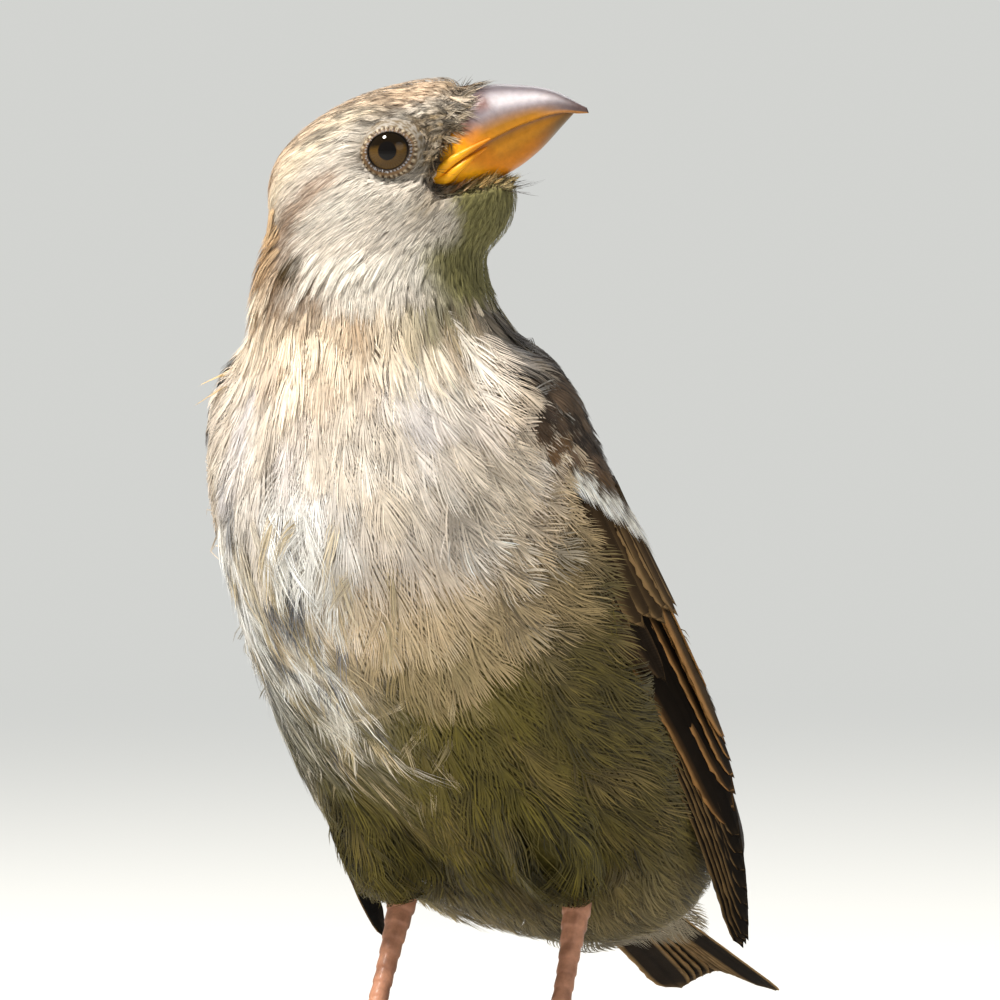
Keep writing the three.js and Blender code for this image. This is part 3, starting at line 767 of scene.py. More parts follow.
def painted_material(name, scale, amount, roughness, sheen=0.0, bump=0.0, specular=0.3):
    """Colour from the piece's Tint attribute, mottled."""
    material = bpy.data.materials.new(name)
    material.use_nodes = True
    tree = material.node_tree
    shader = tree.nodes["Principled BSDF"]
    tint = node(tree, "ShaderNodeAttribute", attribute_name="Tint")
    mottle = node(tree, "ShaderNodeGroup")
    mottle.node_tree = MOTTLE
    mottle.inputs["Scale"].default_value = scale
    mottle.inputs["Amount"].default_value = amount
    tree.links.new(tint.outputs["Color"], mottle.inputs["Color"])
    tree.links.new(mottle.outputs["Color"], shader.inputs["Base Color"])
    shader.inputs["Roughness"].default_value = roughness
    shader.inputs["Specular IOR Level"].default_value = specular
    shader.inputs["Sheen Weight"].default_value = sheen
    shader.inputs["Sheen Roughness"].default_value = 0.5
    if bump:
        lift = node(tree, "ShaderNodeBump")
        lift.inputs["Strength"].default_value = bump
        lift.inputs["Distance"].default_value = 0.0001
        tree.links.new(mottle.outputs["Mask"], lift.inputs["Height"])
        tree.links.new(lift.outputs["Normal"], shader.inputs["Normal"])
    return material


skin_material = painted_material("skin_under_feathers", 2500.0, 0.25, 0.8, bump=0.5)
plume_material = painted_material("contour_feathers", 1400.0, 0.14, 0.62, sheen=0.04, specular=0.2)

# ---- skin piece ---------------------------------------------------------------------------
co, no = vertex_arrays(skin_mesh)
# The skin, seen between the feathers, is painted a darker copy of their marks: painted shade for the gaps
# between them, less dark on the head.
paint(skin_mesh, marks(own(co)) * mix(np.full(len(co), 0.66), 0.78, smooth(own(co)[:, 2], 78, 83))[:, None])
add_piece("skin", skin_mesh, skin_material, "body_plumage", *FLESH)


# ---- feathers of body, neck and head ------------------------------------------------------
def body_size(points):
    """Length and width of a body feather."""
    along, _, _ = body_coordinates(points)
    length = np.interp(along, [4, 10, 14, 22, 34, 60, 90], [5.0, 6.5, 8.5, 10.5, 12.0, 12.5, 9.5])
    width = np.interp(along, [4, 10, 14, 22, 34, 60, 90], [1.0, 1.4, 2.3, 3.1, 3.7, 3.6, 2.2])
    return length, width


BODY_SHAPE = {"root": 0.14, "spread": 0.55, "round": 0.4, "ragged": 0.03, "clump": 0.012,
              "sweep": 1.7, "stray": 0.015, "lift": 0.04, "cup": 0.12, "taper": [0.9, 1, 0.85, 0],
              "fill": 0.33, "roll": 0.25, "pinch": 0.0}
NECK_SHAPE = dict(BODY_SHAPE, root=0.05, spread=0.5, round=0.28, clump=0.1, ragged=0.08, stray=0.05,
                  lift=0.1, sweep=1.4, pinch=0.35)
HEAD_SHAPE = dict(BODY_SHAPE, root=0.04, spread=0.15, clump=0.05, ragged=0.1, stray=0.09, lift=0.05,
                  cup=0.05, fill=0.33, round=0.2, sweep=1.2)


def wing_coordinates(points):
    d = points - WING_BEND
    return d @ WING_ALONG, d @ WING_ACROSS


WING_CURL_FROM, WING_CURL = 4.5, 0.062
WING_TUCK_FROM, WING_TUCK = 2, 0.05


def wing_reach(s, h):
    """How far the wing's outer face stands from the middle plane."""
    x = curve(s, WING_AT, WING_OUTER)
    curl = WING_CURL * np.clip(h - WING_CURL_FROM, 0, None) ** 2
    return x - curl - WING_TUCK * np.clip(WING_TUCK_FROM - h, 0, None) ** 2


def coat_piece(name, roots, lengths, widths, heights, barbs, segments, shape, pale=0.1, vary=0.06,
               strand=0.12, slot="body_plumage", wander=0.07, seed=1, tree=None, flare=0.0,
               down_and_shade_from=0.1, down_and_shade_to=0.45, streak=None, steps=5, shift=None, base=0.68,
               mark_at=-1, flow=None):
    tree = tree or skin_tree
    flow = flow or lie
    placed, normals = onto(tree, roots)
    base = np.broadcast_to(base, len(roots))[:, None, None, None]
    directions = flow(placed, normals)
    shaft = shafts(tree, placed, directions, lengths, heights, steps, wander, flare, seed, flow)
    tips = marks(shaft[0][:, mark_at])
    if shift is not None:
        tips = shift(tips, shaft[0][:, -1], np.random.default_rng(seed + 7))

    def tints(s, j, draw):
        n, count, _ = s.shape
        # Towards the root each barb darkens: its grey down, with painted shade between the layers where base
        # is low.
        tone = mix(tips[:, None, None, :] * base + DOWN_GREY * 0.04, tips[:, None, None, :],
                   smooth(np.maximum(s, 0.75 * np.abs(j)), down_and_shade_from, down_and_shade_to))
        if streak is not None:
            tone = streak(tone, s, j)
        tone = tone * (1 + pale * smooth(np.maximum(np.abs(j), s), 0.78, 1.0))[..., None]
        return tone * draw.normal(1, vary, (n, 1, 1, 1)) * draw.normal(1, strand, (n, count, 1, 1))

    mesh = barb_feathers(name, shaft, widths, tints, unwrap(roots), barbs, segments, shape, seed + 1)
    mesh.calc_loop_triangles()
    print(name, len(roots), "feathers", len(mesh.loop_triangles), "triangles")
    return add_piece(name, mesh, plume_material, slot)


def even(size):
    return lambda points: np.full(len(points), size)


def under_wing(points):
    s, h = wing_coordinates(points)
    inside = (s > 3) & (s < 62) & (h > curve(s, WING_AT, WING_LOW) + 3.0)
    side = np.abs(points[:, 0])
    return (inside & (h < curve(s, WING_AT, WING_HIGH) - 3.0) & (side > 11)
            & (side < wing_reach(s, h) - 1.0))


TOWARD_TIPS = np.array([0, 2.5, -7.5])


def body_keep(points):
    along, angle, _ = body_coordinates(points)
    back = (angle > 2.0) & (along < 60)
    keep = (along > 11.0) & (points[:, 2] < 82) & ~under_wing(points) & ~back
    return keep * (1 - 0.75 * parted_down(points + TOWARD_TIPS))


def neck_keep(points):
    along, _, _ = body_coordinates(points)
    return ((along < 12.5) & (points[:, 2] < 83.5)).astype(float)


def head_keep(points):
    a, p, left = head_coordinates(points)
    near_eye = (((a - EYE_FORWARD) / 1.12) ** 2 + (p - EYE_UP + 0.2) ** 2 < 2.25 ** 2) & (np.abs(left) > 4)
    socket = bill_gap(points) < 0.25
    return ((points[:, 2] > 80.0) & ~near_eye & ~socket).astype(float)


bill_tree = node_tree_of("bill_upper", "bill_lower")


def bill_gap(points):
    gaps = np.full(len(points), 9.0)
    near = np.flatnonzero(head_coordinates(points)[0] > 3.0)
    for i, point in zip(near, metres(points[near])):
        _, _, _, gap = bill_tree.find_nearest(Vector(point))
        gaps[i] = gap / MM
    return gaps


def varied(values, spread=0.15):
    return values * draw.uniform(1 - spread, 1 + spread, len(values))


def body_shift(tips, points, draw):
    """Single feathers that are paler or darker than their neighbours."""
    odd = draw.random(len(tips))
    along, _, _ = body_coordinates(points)
    darker = smooth(odd, 0.7, 0.95) * np.interp(along, [20, 34], [0.3, 1.0])
    tips = mix(tips, tips * 0.8 + SIDE_TAN * 0.1, darker)
    return mix(tips, DOWN_WHITE, 0.3 * smooth(odd, 0.2, 0.02) * smooth(along, 46, 34))


def body_spacing(points):
    """The feathers of the upper breast stand closest."""
    return np.interp(body_coordinates(points)[0], [11, 20, 32], [1.25, 1.55, 2.0])


draw = np.random.default_rng(5)
roots, normals = scatter(skin_mesh, body_spacing, body_keep, 26000, 101)
length, width = body_size(roots)
front = body_coordinates(roots)[0] < 48
along = body_coordinates(roots)[0]
# Feather bases darken more towards the belly: their grey down on the breast, and painted shade between the
# overlapping layers lower down.
root_shade = np.interp(along, [10, 30, 40, 52, 60], [0.82, 0.78, 0.55, 0.34, 0.28])
shade_from = np.interp(along, [28, 44, 54], [0.1, 0.3, 0.4])[:, None, None]
shade_to = np.interp(along, [28, 44, 54], [0.5, 0.8, 0.95])[:, None, None]
for part, label, seed, strand in ((front, "breast_feathers", 11, 0.1), (~front, "belly_feathers", 12, 0.26)):
    coat_piece(label, roots[part], varied(length[part]), varied(width[part]),
               coat_depth(roots[part]) * 0.95, 28, 4, BODY_SHAPE, seed=seed, shift=body_shift,
               base=root_shade[part], strand=strand, down_and_shade_from=shade_from[part],
               down_and_shade_to=shade_to[part])


def down_keep(points):
    return (parted_down(points + TOWARD_TIPS * 0.6) > 0.3).astype(float)


def converging(points, normals):
    """The lie of the parted down, which runs in towards one line as it goes down."""
    pull = np.clip(-(points[:, 0] + 4.5) / 6.0, -0.6, 0.45) * smooth(points[:, 2], 34, 44)
    pull = pull + 0.25 * waves(points, 3.5, 57)
    heading = body_coordinates(points)[2]
    flow = heading + np.array([0, 0, -0.5]) + pull[:, None] * np.array([1.0, 0, 0])
    return unit(flow - (flow * normals).sum(1)[:, None] * normals)


def down_shift(tips, points, draw):
    """White, slate and tan plumes side by side."""
    pick = draw.random(len(tips))
    cream = mix(filled(LOCK_TAN, len(tips)), DOWN_WHITE, smooth(points[:, 2], 20, 42) * 0.9)
    patch = waves(points * np.array([1.0, 1.0, 0.6]), 2.6, 58)
    tone = mix(cream, DOWN_GREY, 0.9 * smooth(patch + 0.6 * (pick - 0.5), 0.1, 0.5))
    return mix(tone, LOCK_TAN, smooth(pick, 0.84, 0.9))


DOWN_SHAPE = dict(BODY_SHAPE, spread=0.4, clump=0.2, ragged=0.12, stray=0.08, lift=0.2, sweep=1.3,
                  fill=0.28, roll=0.5, pinch=0.35)
roots, normals = scatter(skin_mesh, even(1.7), down_keep, 9000, 104)
coat_piece("down_plumes", roots, varied(np.full(len(roots), 10.5), 0.25),
           varied(np.full(len(roots), 2.0), 0.3), np.full(len(roots), 2.3), 24, 6, DOWN_SHAPE,
           vary=0.08, strand=0.14, wander=0.3, seed=51, flare=0.3, shift=down_shift, down_and_shade_to=0.3,
           steps=6, flow=converging)


def lock_keep(points):
    """Either side of the parting, down the bird's right belly."""
    near = np.exp(-((points[:, 0] + 3.5) / 5.0) ** 2)
    band = smooth(points[:, 2], 32, 38) * smooth(points[:, 2], 62, 57)
    return near * band * (body_coordinates(points)[1] < 1.5)


roots, normals = scatter(skin_mesh, even(2.9), lock_keep, 2500, 105)
coat_piece("parting_locks", roots, varied(np.full(len(roots), 9.0), 0.25),
           varied(np.full(len(roots), 1.1), 0.3), np.full(len(roots), 2.4), 16, 5,
           dict(DOWN_SHAPE, pinch=0.7, stray=0.06, clump=0.12, fill=0.3, lift=0.1), vary=0.1,
           strand=0.18, wander=0.3, seed=55, flow=converging,
           shift=lambda tips, points, draw: mix(tips, LOCK_TAN, draw.uniform(0.2, 0.9, len(tips))))

roots, normals = scatter(skin_mesh, even(1.15), neck_keep, 16000, 102)
length, width = body_size(roots)
coat_piece("neck_feathers", roots, varied(length, 0.2), varied(width, 0.2), varied(coat_depth(roots), 0.2),
           16, 4, NECK_SHAPE, vary=0.08, seed=21, wander=0.16, mark_at=2)


def head_shift(tips, points, draw):
    """Fine dark flecks, thick between eye and bill and thin on the crown."""
    a, p, _ = head_coordinates(points)
    lores = smooth(a, 5.0, 6.5) * smooth(p, -2.8, -1.2) * smooth(p, 5.4, 4.0)
    crown = 0.55 * smooth(p, 4.5, 7.0)
    edge = 0.45 * smooth(a, 3.0, 5.5) * smooth(p, -5.5, -3.5) * smooth(p, 0.5, -1.0)
    chance = np.maximum(np.maximum(0.62 * lores, crown), edge)
    dark = draw.random(len(tips)) < chance
    return np.where(dark[:, None], tips * mix(np.full(len(tips), 0.2), 0.42, crown / 0.55)[:, None],
                    tips * draw.normal(1, 0.05, (len(tips), 1)))


roots, normals = scatter(skin_mesh, even(0.46), head_keep, 52000, 103)
a, p, left = head_coordinates(roots)
length = np.interp(a, [-12, -4, 3, 9], [4.6, 3.8, 2.4, 1.3])
width = np.interp(a, [-12, 3, 9], [0.62, 0.46, 0.3])
for part, label, seed in ((a > -2, "face_feathers", 31), (a <= -2, "cheek_feathers", 33)):
    coat_piece(label, roots[part], varied(length[part], 0.2), width[part], coat_depth(roots[part]),
               10, 3, HEAD_SHAPE, vary=0.08, strand=0.2, slot="head_plumage", seed=seed,
               shift=head_shift, base=0.62, wander=0.08, mark_at=1)


def nape_keep(points):
    """Down the back of the head and neck, where the plumage stands fuller."""
    a, _, left = head_coordinates(points)
    return ((a < -6.5) & (np.abs(left) < 6.5) & (points[:, 2] > 76.5) & (points[:, 2] < 91)).astype(float)


roots, normals = scatter(skin_mesh, even(1.0), nape_keep, 8000, 106)
full = smooth(roots[:, 2], 76.5, 80.5) * smooth(roots[:, 2], 92, 88)
coat_piece("nape_feathers", roots, varied(np.full(len(roots), 4.6), 0.2),
           varied(np.full(len(roots), 0.95), 0.2), 0.5 + 1.2 * full, 16, 4, NECK_SHAPE, vary=0.1,
           strand=0.2, slot="head_plumage", seed=35, wander=0.12, base=0.66)


def cheek_edge_keep(points):
    """Along the lower edge of the cheek."""
    x, y, z = points.T
    edge = z - 83.2
    return ((np.abs(edge) < 1.1) & (x > -1.0) & (x < 8.0) & (y < 6)).astype(float)


roots, normals = scatter(skin_mesh, even(1.0), cheek_edge_keep, 3000, 107)
coat_piece("cheek_edge_feathers", roots, varied(np.full(len(roots), 4.6), 0.3),
           varied(np.full(len(roots), 0.85), 0.2), coat_depth(roots) + 0.35, 14, 4,
           dict(NECK_SHAPE, pinch=0.6), vary=0.06, strand=0.14, slot="head_plumage", seed=36, wander=0.12,
           shift=lambda tips, points, draw: mix(tips, CHEEK_PALE * 1.1, 0.8), base=0.6, mark_at=0)

# ---- smooth forms from a wrapped sheet ----------------------------------------------------
def wrapped(columns, rows, place, merge=0.002):
    """A sheet of columns by rows wrapped to a form: place(u, v) gives its points, u and v 0 to 1."""
    bm = bmesh.new()
    bmesh.ops.create_grid(bm, x_segments=columns, y_segments=rows, size=0.5)
    flat = np.array([v.co[:2] for v in bm.verts]) + 0.5
    points = place(np.clip(flat[:, 0], 0, 1), np.clip(flat[:, 1], 0, 1))
    for v, point in zip(bm.verts, metres(points)):
        v.co = point
    bmesh.ops.remove_doubles(bm, verts=bm.verts, dist=merge * MM)
    bmesh.ops.dissolve_degenerate(bm, edges=bm.edges, dist=merge * MM * 0.5)
    bmesh.ops.recalc_face_normals(bm, faces=bm.faces)
    return bm


def joined(parts):
    """Several bmeshes as one."""
    whole = bmesh.new()
    for part in parts:
        mesh = bpy.data.meshes.new("part")
        part.to_mesh(mesh)
        part.free()
        whole.from_mesh(mesh)
        bpy.data.meshes.remove(mesh)
    return whole


def finished(name, bm, tint, material, slot, *replaced):
    mesh = bpy.data.meshes.new(name)
    bm.to_mesh(mesh)
    bm.free()
    co, _ = vertex_arrays(mesh)
    paint(mesh, tint(own(co)))
    return add_piece(name, mesh, material, slot, *replaced)


def tube(path, radii, around=20, along=40, ridge=None):
    """A closed tapering tube along a smooth path; ridge(t, angle) swells it."""
    path = np.asarray(path, float)
    stops = np.concatenate([[0], np.cumsum(np.linalg.norm(np.diff(path, axis=0), axis=1))])
    stops /= stops[-1]

    def place(u, v):
        t = np.clip((v - 0.06) / 0.88, 0, 1)
        end = np.sqrt(np.clip(np.minimum(v / 0.06, (1 - v) / 0.06), 0, 1))
        centre = np.stack([curve(t, stops, path[:, k]) for k in range(3)], 1)
        ahead = np.stack([curve(np.clip(t + 0.01, 0, 1), stops, path[:, k])
                          - curve(np.clip(t - 0.01, 0, 1), stops, path[:, k]) for k in range(3)], 1)
        ahead = unit(ahead)
        radius = curve(t, np.linspace(0, 1, len(radii)), radii)
        cap = np.where(v < 0.5, -1, 1) * np.clip(1 - np.minimum(v, 1 - v) / 0.06, 0, 1)
        side = unit(np.cross(ahead, np.array([0.31, 0.11, 0.94])))
        other = np.cross(ahead, side)
        turn = u * 2 * math.pi
        swell = 1.0 if ridge is None else ridge(t, turn)
        r = (radius * end * swell)[:, None]
        return (centre + ahead * (cap * radius * 0.5)[:, None] + side * np.cos(turn)[:, None] * r
                + other * np.sin(turn)[:, None] * r)

    return wrapped(around, along, place)


# ---- bill ---------------------------------------------------------------------------------
BILL_MAUVE = colour("766C70")
BILL_PALE_AND_SHEEN = colour("F4ECEE")
BILL_DARK = colour("4E3D3A")
BILL_PEACH = colour("AB7212")
BILL_ORANGE = colour("CC7A00")
BILL_YELLOW = colour("F0A818")
BILL_HORN = colour("6E5230")
NOSTRIL_RED = colour("5E2404")

UPPER_AT = [5.6, 9.4, 13.0, 16.6, 19.9, 22.2]
UPPER_RIDGE = [1.6, 4.6, 5.6, 4.5, 2.6, 0.1]
UPPER_MOUTH = [-1.3, -0.4, 0.35, 0.7, 0.5, -0.45]
UPPER_WIDE = [4.1, 4.35, 3.9, 2.95, 1.8, 0.3]
LOWER_AT = [5.6, 9.0, 12.6, 16.2, 19.4, 21.2]
LOWER_KEEL = [-2.4, -3.35, -3.35, -2.35, -0.75, 0.15]
LOWER_MOUTH = [-1.4, -0.55, 0.2, 0.55, 0.4, 0.2]
LOWER_WIDE = [4.1, 4.15, 3.55, 2.6, 1.45, 0.12]
MOUTH_ROUND = 0.22


def bill_half(at, edge, mouth, wide, side_power):
    def place(u, v):
        a = at[0] + (at[-1] - at[0]) * (1 - (1 - v) ** 1.3)
        turn = u * 2 * math.pi
        height = curve(a, at, edge) - curve(a, at, mouth)
        half = np.maximum(curve(a, at, wide), 0.05)
        arch = np.sin(turn)
        rise = np.where(arch > 0, np.abs(arch) ** 0.95 * height,
                        -np.abs(arch) ** 0.5 * MOUTH_ROUND * np.sign(height) * np.minimum(half, 1))
        out = np.sign(np.cos(turn)) * np.abs(np.cos(turn)) ** side_power * half
        closed = np.where(v < 0.004, 0.0, 1.0)
        return head_point(a, curve(a, at, mouth) + rise * closed, out * closed)
    return wrapped(56, 60, place)


def upper_tint(points):
    a, p, left = head_coordinates(points)
    mouth = curve(a, UPPER_AT, UPPER_MOUTH)
    above = (p - mouth) / np.maximum(curve(a, UPPER_AT, UPPER_RIDGE) - mouth, 0.3)
    tone = mix(filled(BILL_MAUVE, len(a)), BILL_DARK, smooth(a, 17.5, 22.5))
    # Painted highlight: a pale band along the side of the upper mandible, below the ridge.
    sheen = 0.5 * np.exp(-((above - 0.62) / 0.17) ** 2) * smooth(a, 12, 15) * smooth(a, 22, 18)
    tone = mix(tone, BILL_PALE_AND_SHEEN, sheen)
    # Painted shade: the ridge darkened against the highlight band below it.
    tone = mix(tone, BILL_MAUVE * 0.6, smooth(above, 0.78, 0.95) * smooth(a, 10, 14))
    tone = mix(tone, BILL_PEACH * 0.75, smooth(above, 0.45, 0.08) * smooth(a, 9, 12) * smooth(a, 21, 17))
    base = smooth(a + above * 5.0 + 0.5 * waves(points, 1.5, 61), 14.2, 10.6)
    tone = mix(tone, BILL_ORANGE, base)
    tone = mix(tone, BILL_YELLOW, smooth(a + above * 3.0, 11.6, 8.8))
    tone = mix(tone, BILL_PALE_AND_SHEEN * BILL_PEACH * 1.6, 0.5 * smooth(above, 0.09, 0.02) * smooth(a, 11, 14))
    # Dark red-brown band along the feathered edge of the bill's base: its red flush, with painted shade
    # under the feathers' edge.
    border = np.exp(-((a - 9.0 - 4.4 * above) / 0.7) ** 2)
    tone = mix(tone, NOSTRIL_RED * 0.55, 0.65 * border * smooth(above, 0.2, 0.45) * smooth(above, 1.0, 0.8))
    nostril = np.exp(-((a - 12.9) / 0.75) ** 4 - ((p - 3.8) / 0.65) ** 4)
    return mix(tone, NOSTRIL_RED, 0.85 * nostril * smooth(np.abs(left), 0.8, 1.6))


def lower_tint(points):
    a, p, _ = head_coordinates(points)
    mouth = curve(a, LOWER_AT, LOWER_MOUTH)
    below = (mouth - p) / np.maximum(mouth - curve(a, LOWER_AT, LOWER_KEEL), 0.3)
    tone = mix(filled(BILL_PEACH, len(a)), BILL_ORANGE * 0.8, smooth(below, 0.35, 0.8))
    tone = mix(tone, BILL_HORN, smooth(a + 2.5 * below, 17.0, 21.5))
    # Painted highlight: a pale peach band along the side of the lower mandible.
    band = np.exp(-((below - 0.3) / 0.2) ** 2) * smooth(a, 10, 13) * smooth(a, 20.5, 18)
    tone = mix(tone, BILL_PALE_AND_SHEEN * BILL_PEACH * 1.5, 0.65 * band)
    tone = mix(tone, BILL_ORANGE, smooth(a - below * 3.0 + 0.4 * waves(points, 1.5, 62), 12.8, 9.6))
    tone = mix(tone, BILL_YELLOW, smooth(a - below * 2.6, 10.2, 7.6))
    return mix(tone, BILL_MAUVE * 0.75, 0.6 * smooth(below, 0.16, 0.03) * smooth(a, 10.0, 12.0))


def horn_material(name, roughness, coat, scale, amount, bump):
    material = painted_material(name, scale, amount, roughness, bump=bump, specular=0.2)
    shader = material.node_tree.nodes["Principled BSDF"]
    shader.inputs["Coat Weight"].default_value = coat
    shader.inputs["Coat Roughness"].default_value = 0.22
    shader.inputs["Subsurface Weight"].default_value = 0.06
    shader.inputs["Subsurface Radius"].default_value = (0.0012, 0.0005, 0.0002)
    return material


bill_material = horn_material("bill_horn_satin", 0.42, 0.07, 1600.0, 0.14, 0.5)
gape_material = horn_material("soft_gape", 0.48, 0.15, 1200.0, 0.12, 0.4)
finished("bill_upper_horn", bill_half(UPPER_AT, UPPER_RIDGE, UPPER_MOUTH, UPPER_WIDE, 0.72),
         upper_tint, bill_material, "bill_horn", "bill_upper")
finished("bill_lower_horn", bill_half(LOWER_AT, LOWER_KEEL, LOWER_MOUTH, LOWER_WIDE, 0.72),
         lower_tint, bill_material, "bill_horn", "bill_lower")


def gape_lip(side):
    """The swollen yellow corner of the mouth: an upper and a lower fold."""
    upper = [(6.1, -1.5, 4.15), (6.9, -1.05, 4.45), (8.4, -0.5, 4.6), (10.4, -0.1, 4.4), (12.6, 0.25, 3.95)]
    lower = [(6.1, -1.6, 4.1), (7.0, -1.95, 4.4), (8.4, -1.55, 4.5), (10.2, -0.9, 4.2), (12.0, -0.4, 3.75)]
    folds = []
    for fold, radii in ((upper, [0.48, 0.52, 0.42, 0.28, 0.12]), (lower, [0.44, 0.5, 0.4, 0.25, 0.1])):
        spots = np.array(fold)
        path = head_point(spots[:, 0], spots[:, 1], spots[:, 2] * side)
        folds.append(tube(path, radii, 18, 44))
    return joined(folds)


def gape_tint(points):
    a, _, _ = head_coordinates(points)
    tone = mix(filled(BILL_YELLOW, len(a)), BILL_ORANGE, smooth(a, 8.6, 11.4))
    return mix(tone, NOSTRIL_RED * 0.8, 0.7 * smooth(a, 6.1, 5.4))


for side, label in ((-1, "right"), (1, "left")):
    finished("gape_" + label, gape_lip(side), gape_tint, gape_material, "bill_horn")

# ---- eyes and lids ------------------------------------------------------------------------
IRIS = colour("443012")
IRIS_PALE = colour("5A421C")
EYE_BLACK = colour("0B0807")
LID_DARK = colour("1E140D")
LID_TAN = colour("765A3C")
LID_PALE = colour("CDBFA4")
LID_BLUE = colour("A9ADB4")
LID_WIDE, LID_TALL = 2.12, 1.86
PUPIL_RADIUS = 0.93
IRIS_RADIUS = 2.1


def eye_point(side, across, up, out):
    """A point by the eye: across and up from its middle, out along the head's side."""
    return head_point(EYE_FORWARD + across, EYE_UP + up, side * (EYE_APART + out))


def eye_ball(side):
    def place(u, v):
        polar = v * math.pi
        turn = u * 2 * math.pi
        bulge = 1 + 0.03 * smooth(polar, 0.8, 0.2) - 0.14 * smooth(polar, 0.95, 1.3)
        radius = EYE_RADIUS * np.sin(polar) * bulge
        return eye_point(side, radius * np.cos(turn), radius * np.sin(turn),
                         EYE_RADIUS * np.cos(polar) * bulge)
    return wrapped(72, 120, place)


def eye_tint(points):
    a, p, _ = head_coordinates(points)
    across, up = a - EYE_FORWARD, p - EYE_UP
    radius = np.hypot(across, up)
    fibres = np.sin(np.arctan2(up, across) * 34 + 2.2 * np.sin(radius * 5))
    iris = mix(filled(IRIS, len(a)), IRIS_PALE, 0.5 + 0.3 * fibres)
    # Painted shadow of the upper lid: the top of the iris darkened.
    iris = mix(iris, IRIS * 0.12, smooth(up + 0.25 * across, 0.1, 0.8))
    iris = mix(iris, EYE_BLACK, smooth(radius, IRIS_RADIUS - 0.38, IRIS_RADIUS - 0.1))
    return mix(iris, EYE_BLACK, smooth(radius, PUPIL_RADIUS + 0.05, PUPIL_RADIUS - 0.03))


def wet_material():
    material = painted_material("wet_eye", 3000.0, 0.08, 0.4, specular=0.0)
    shader = material.node_tree.nodes["Principled BSDF"]
    shader.inputs["Coat Weight"].default_value = 1.0
    shader.inputs["Coat Roughness"].default_value = 0.02
    shader.inputs["Coat IOR"].default_value = 1.28
    return material


def on_ball(radius):
    return math.sqrt(max(EYE_RADIUS ** 2 - radius ** 2, 0))


def lid_share(turn):
    """The rim is narrower above the eye and a little so in front."""
    return 1 - 0.42 * smooth(np.sin(turn), 0.2, 0.9) - 0.25 * smooth(np.cos(turn), 0.3, 1.0)


def lid(side):
    """Bare rim round the eye, from the ball out under the first feathers."""
    rise = np.array([-0.25, 0.06, 0.15, 0.13, 0.13, 0.14, -1.4])
    spread = np.array([-0.12, -0.05, 0.05, 0.2, 0.42, 0.8, 1.3])

    def place(u, v):
        turn = u * 2 * math.pi
        s = curve(v, np.linspace(0, 1, 7), spread)
        lift = curve(v, np.linspace(0, 1, 7), rise)
        beads = 0.035 * np.cos(turn * 38) * np.exp(-((v - 0.62) / 0.12) ** 2)
        wide, tall = LID_WIDE + s, LID_TALL + s
        reach = np.hypot(wide * np.cos(turn), tall * np.sin(turn))
        base = np.sqrt(EYE_RADIUS ** 2 - np.minimum(reach, 2.75) ** 2)
        out = base + lift + beads - 0.35 * np.maximum(s - 0.6, 0)
        return eye_point(side, wide * np.cos(turn), tall * np.sin(turn), out)
    return wrapped(152, 28, place)


def lid_tint(points):
    a, p, _ = head_coordinates(points)
    across, up = (a - EYE_FORWARD) / LID_WIDE, (p - EYE_UP) / LID_TALL
    ratio = np.hypot(across, up)
    turn = np.arctan2(up, across)
    flecks = smooth(np.sin(turn * 38 + 1.3 * np.sin(turn * 5)), 0.0, 0.6)
    dashes = smooth(np.sin(turn * 30 + 1.7 * np.sin(turn * 4)), -0.2, 0.5)
    lower = smooth(up, 0.3, -0.5)
    inner = np.exp(-((ratio - 1.09) / 0.045) ** 2)
    outer = np.exp(-((ratio - 1 - 0.36 * lid_share(turn)) / 0.07) ** 2)
    beyond = smooth(ratio, 1 + 0.42 * lid_share(turn), 1 + 0.52 * lid_share(turn))
    plume = mix(filled(CHEEK * 0.6, len(a)), LORES * 0.5, smooth(waves(points, 0.5, 89), -0.3, 0.4))
    tone = mix(filled(LID_TAN, len(a)), plume, beyond)
    tone = mix(tone, mix(filled(LID_DARK, len(a)), LID_BLUE, flecks), inner * (0.35 + 0.6 * lower))
    tone = mix(tone, mix(filled(LID_DARK, len(a)), LID_PALE, dashes), 0.8 * outer)
    return mix(filled(LID_DARK * 0.7, len(a)), tone, smooth(ratio, 1.0, 1.06))


eye_material = wet_material()
lid_material = painted_material("lid_skin", 2600.0, 0.2, 0.5, bump=0.4)
for side, label in ((-1, "right"), (1, "left")):
    finished("eye_ball_" + label, eye_ball(side), eye_tint, eye_material, "eye", "eye_" + label)
    finished("lid_" + label, lid(side), lid_tint, lid_material, "head_plumage")


def lid_beads(side):
    """Ring of short pale feather tips just outside the rim."""
    draw = np.random.default_rng(71)
    beads = []
    for ring, count in ((0.16, 44), (0.66, 40)):
        for k in range(count):
            size = draw.uniform(0.35, 0.85)
            turn = 2 * math.pi * (k + draw.uniform(-0.45, 0.45) + ring) / count
            reach = (ring + draw.uniform(-0.09, 0.09)) * float(lid_share(turn))
            out = np.array([math.cos(turn), math.sin(turn)])
            at = out * [LID_WIDE + reach, LID_TALL + reach]
            base = on_ball(min(math.hypot(*at), 2.75)) + 0.2 - 0.3 * max(reach - 0.5, 0)
            inner, outer = out * -0.13 * size, out * 0.2 * size
            ends = [eye_point(side, *(at + inner), base - 0.05), eye_point(side, *at, base + 0.05),
                    eye_point(side, *(at + outer), base - 0.02)]
            beads.append(tube(ends, [0.05 * size, 0.085 * size, 0.03 * size], 6, 6))
    return joined(beads)


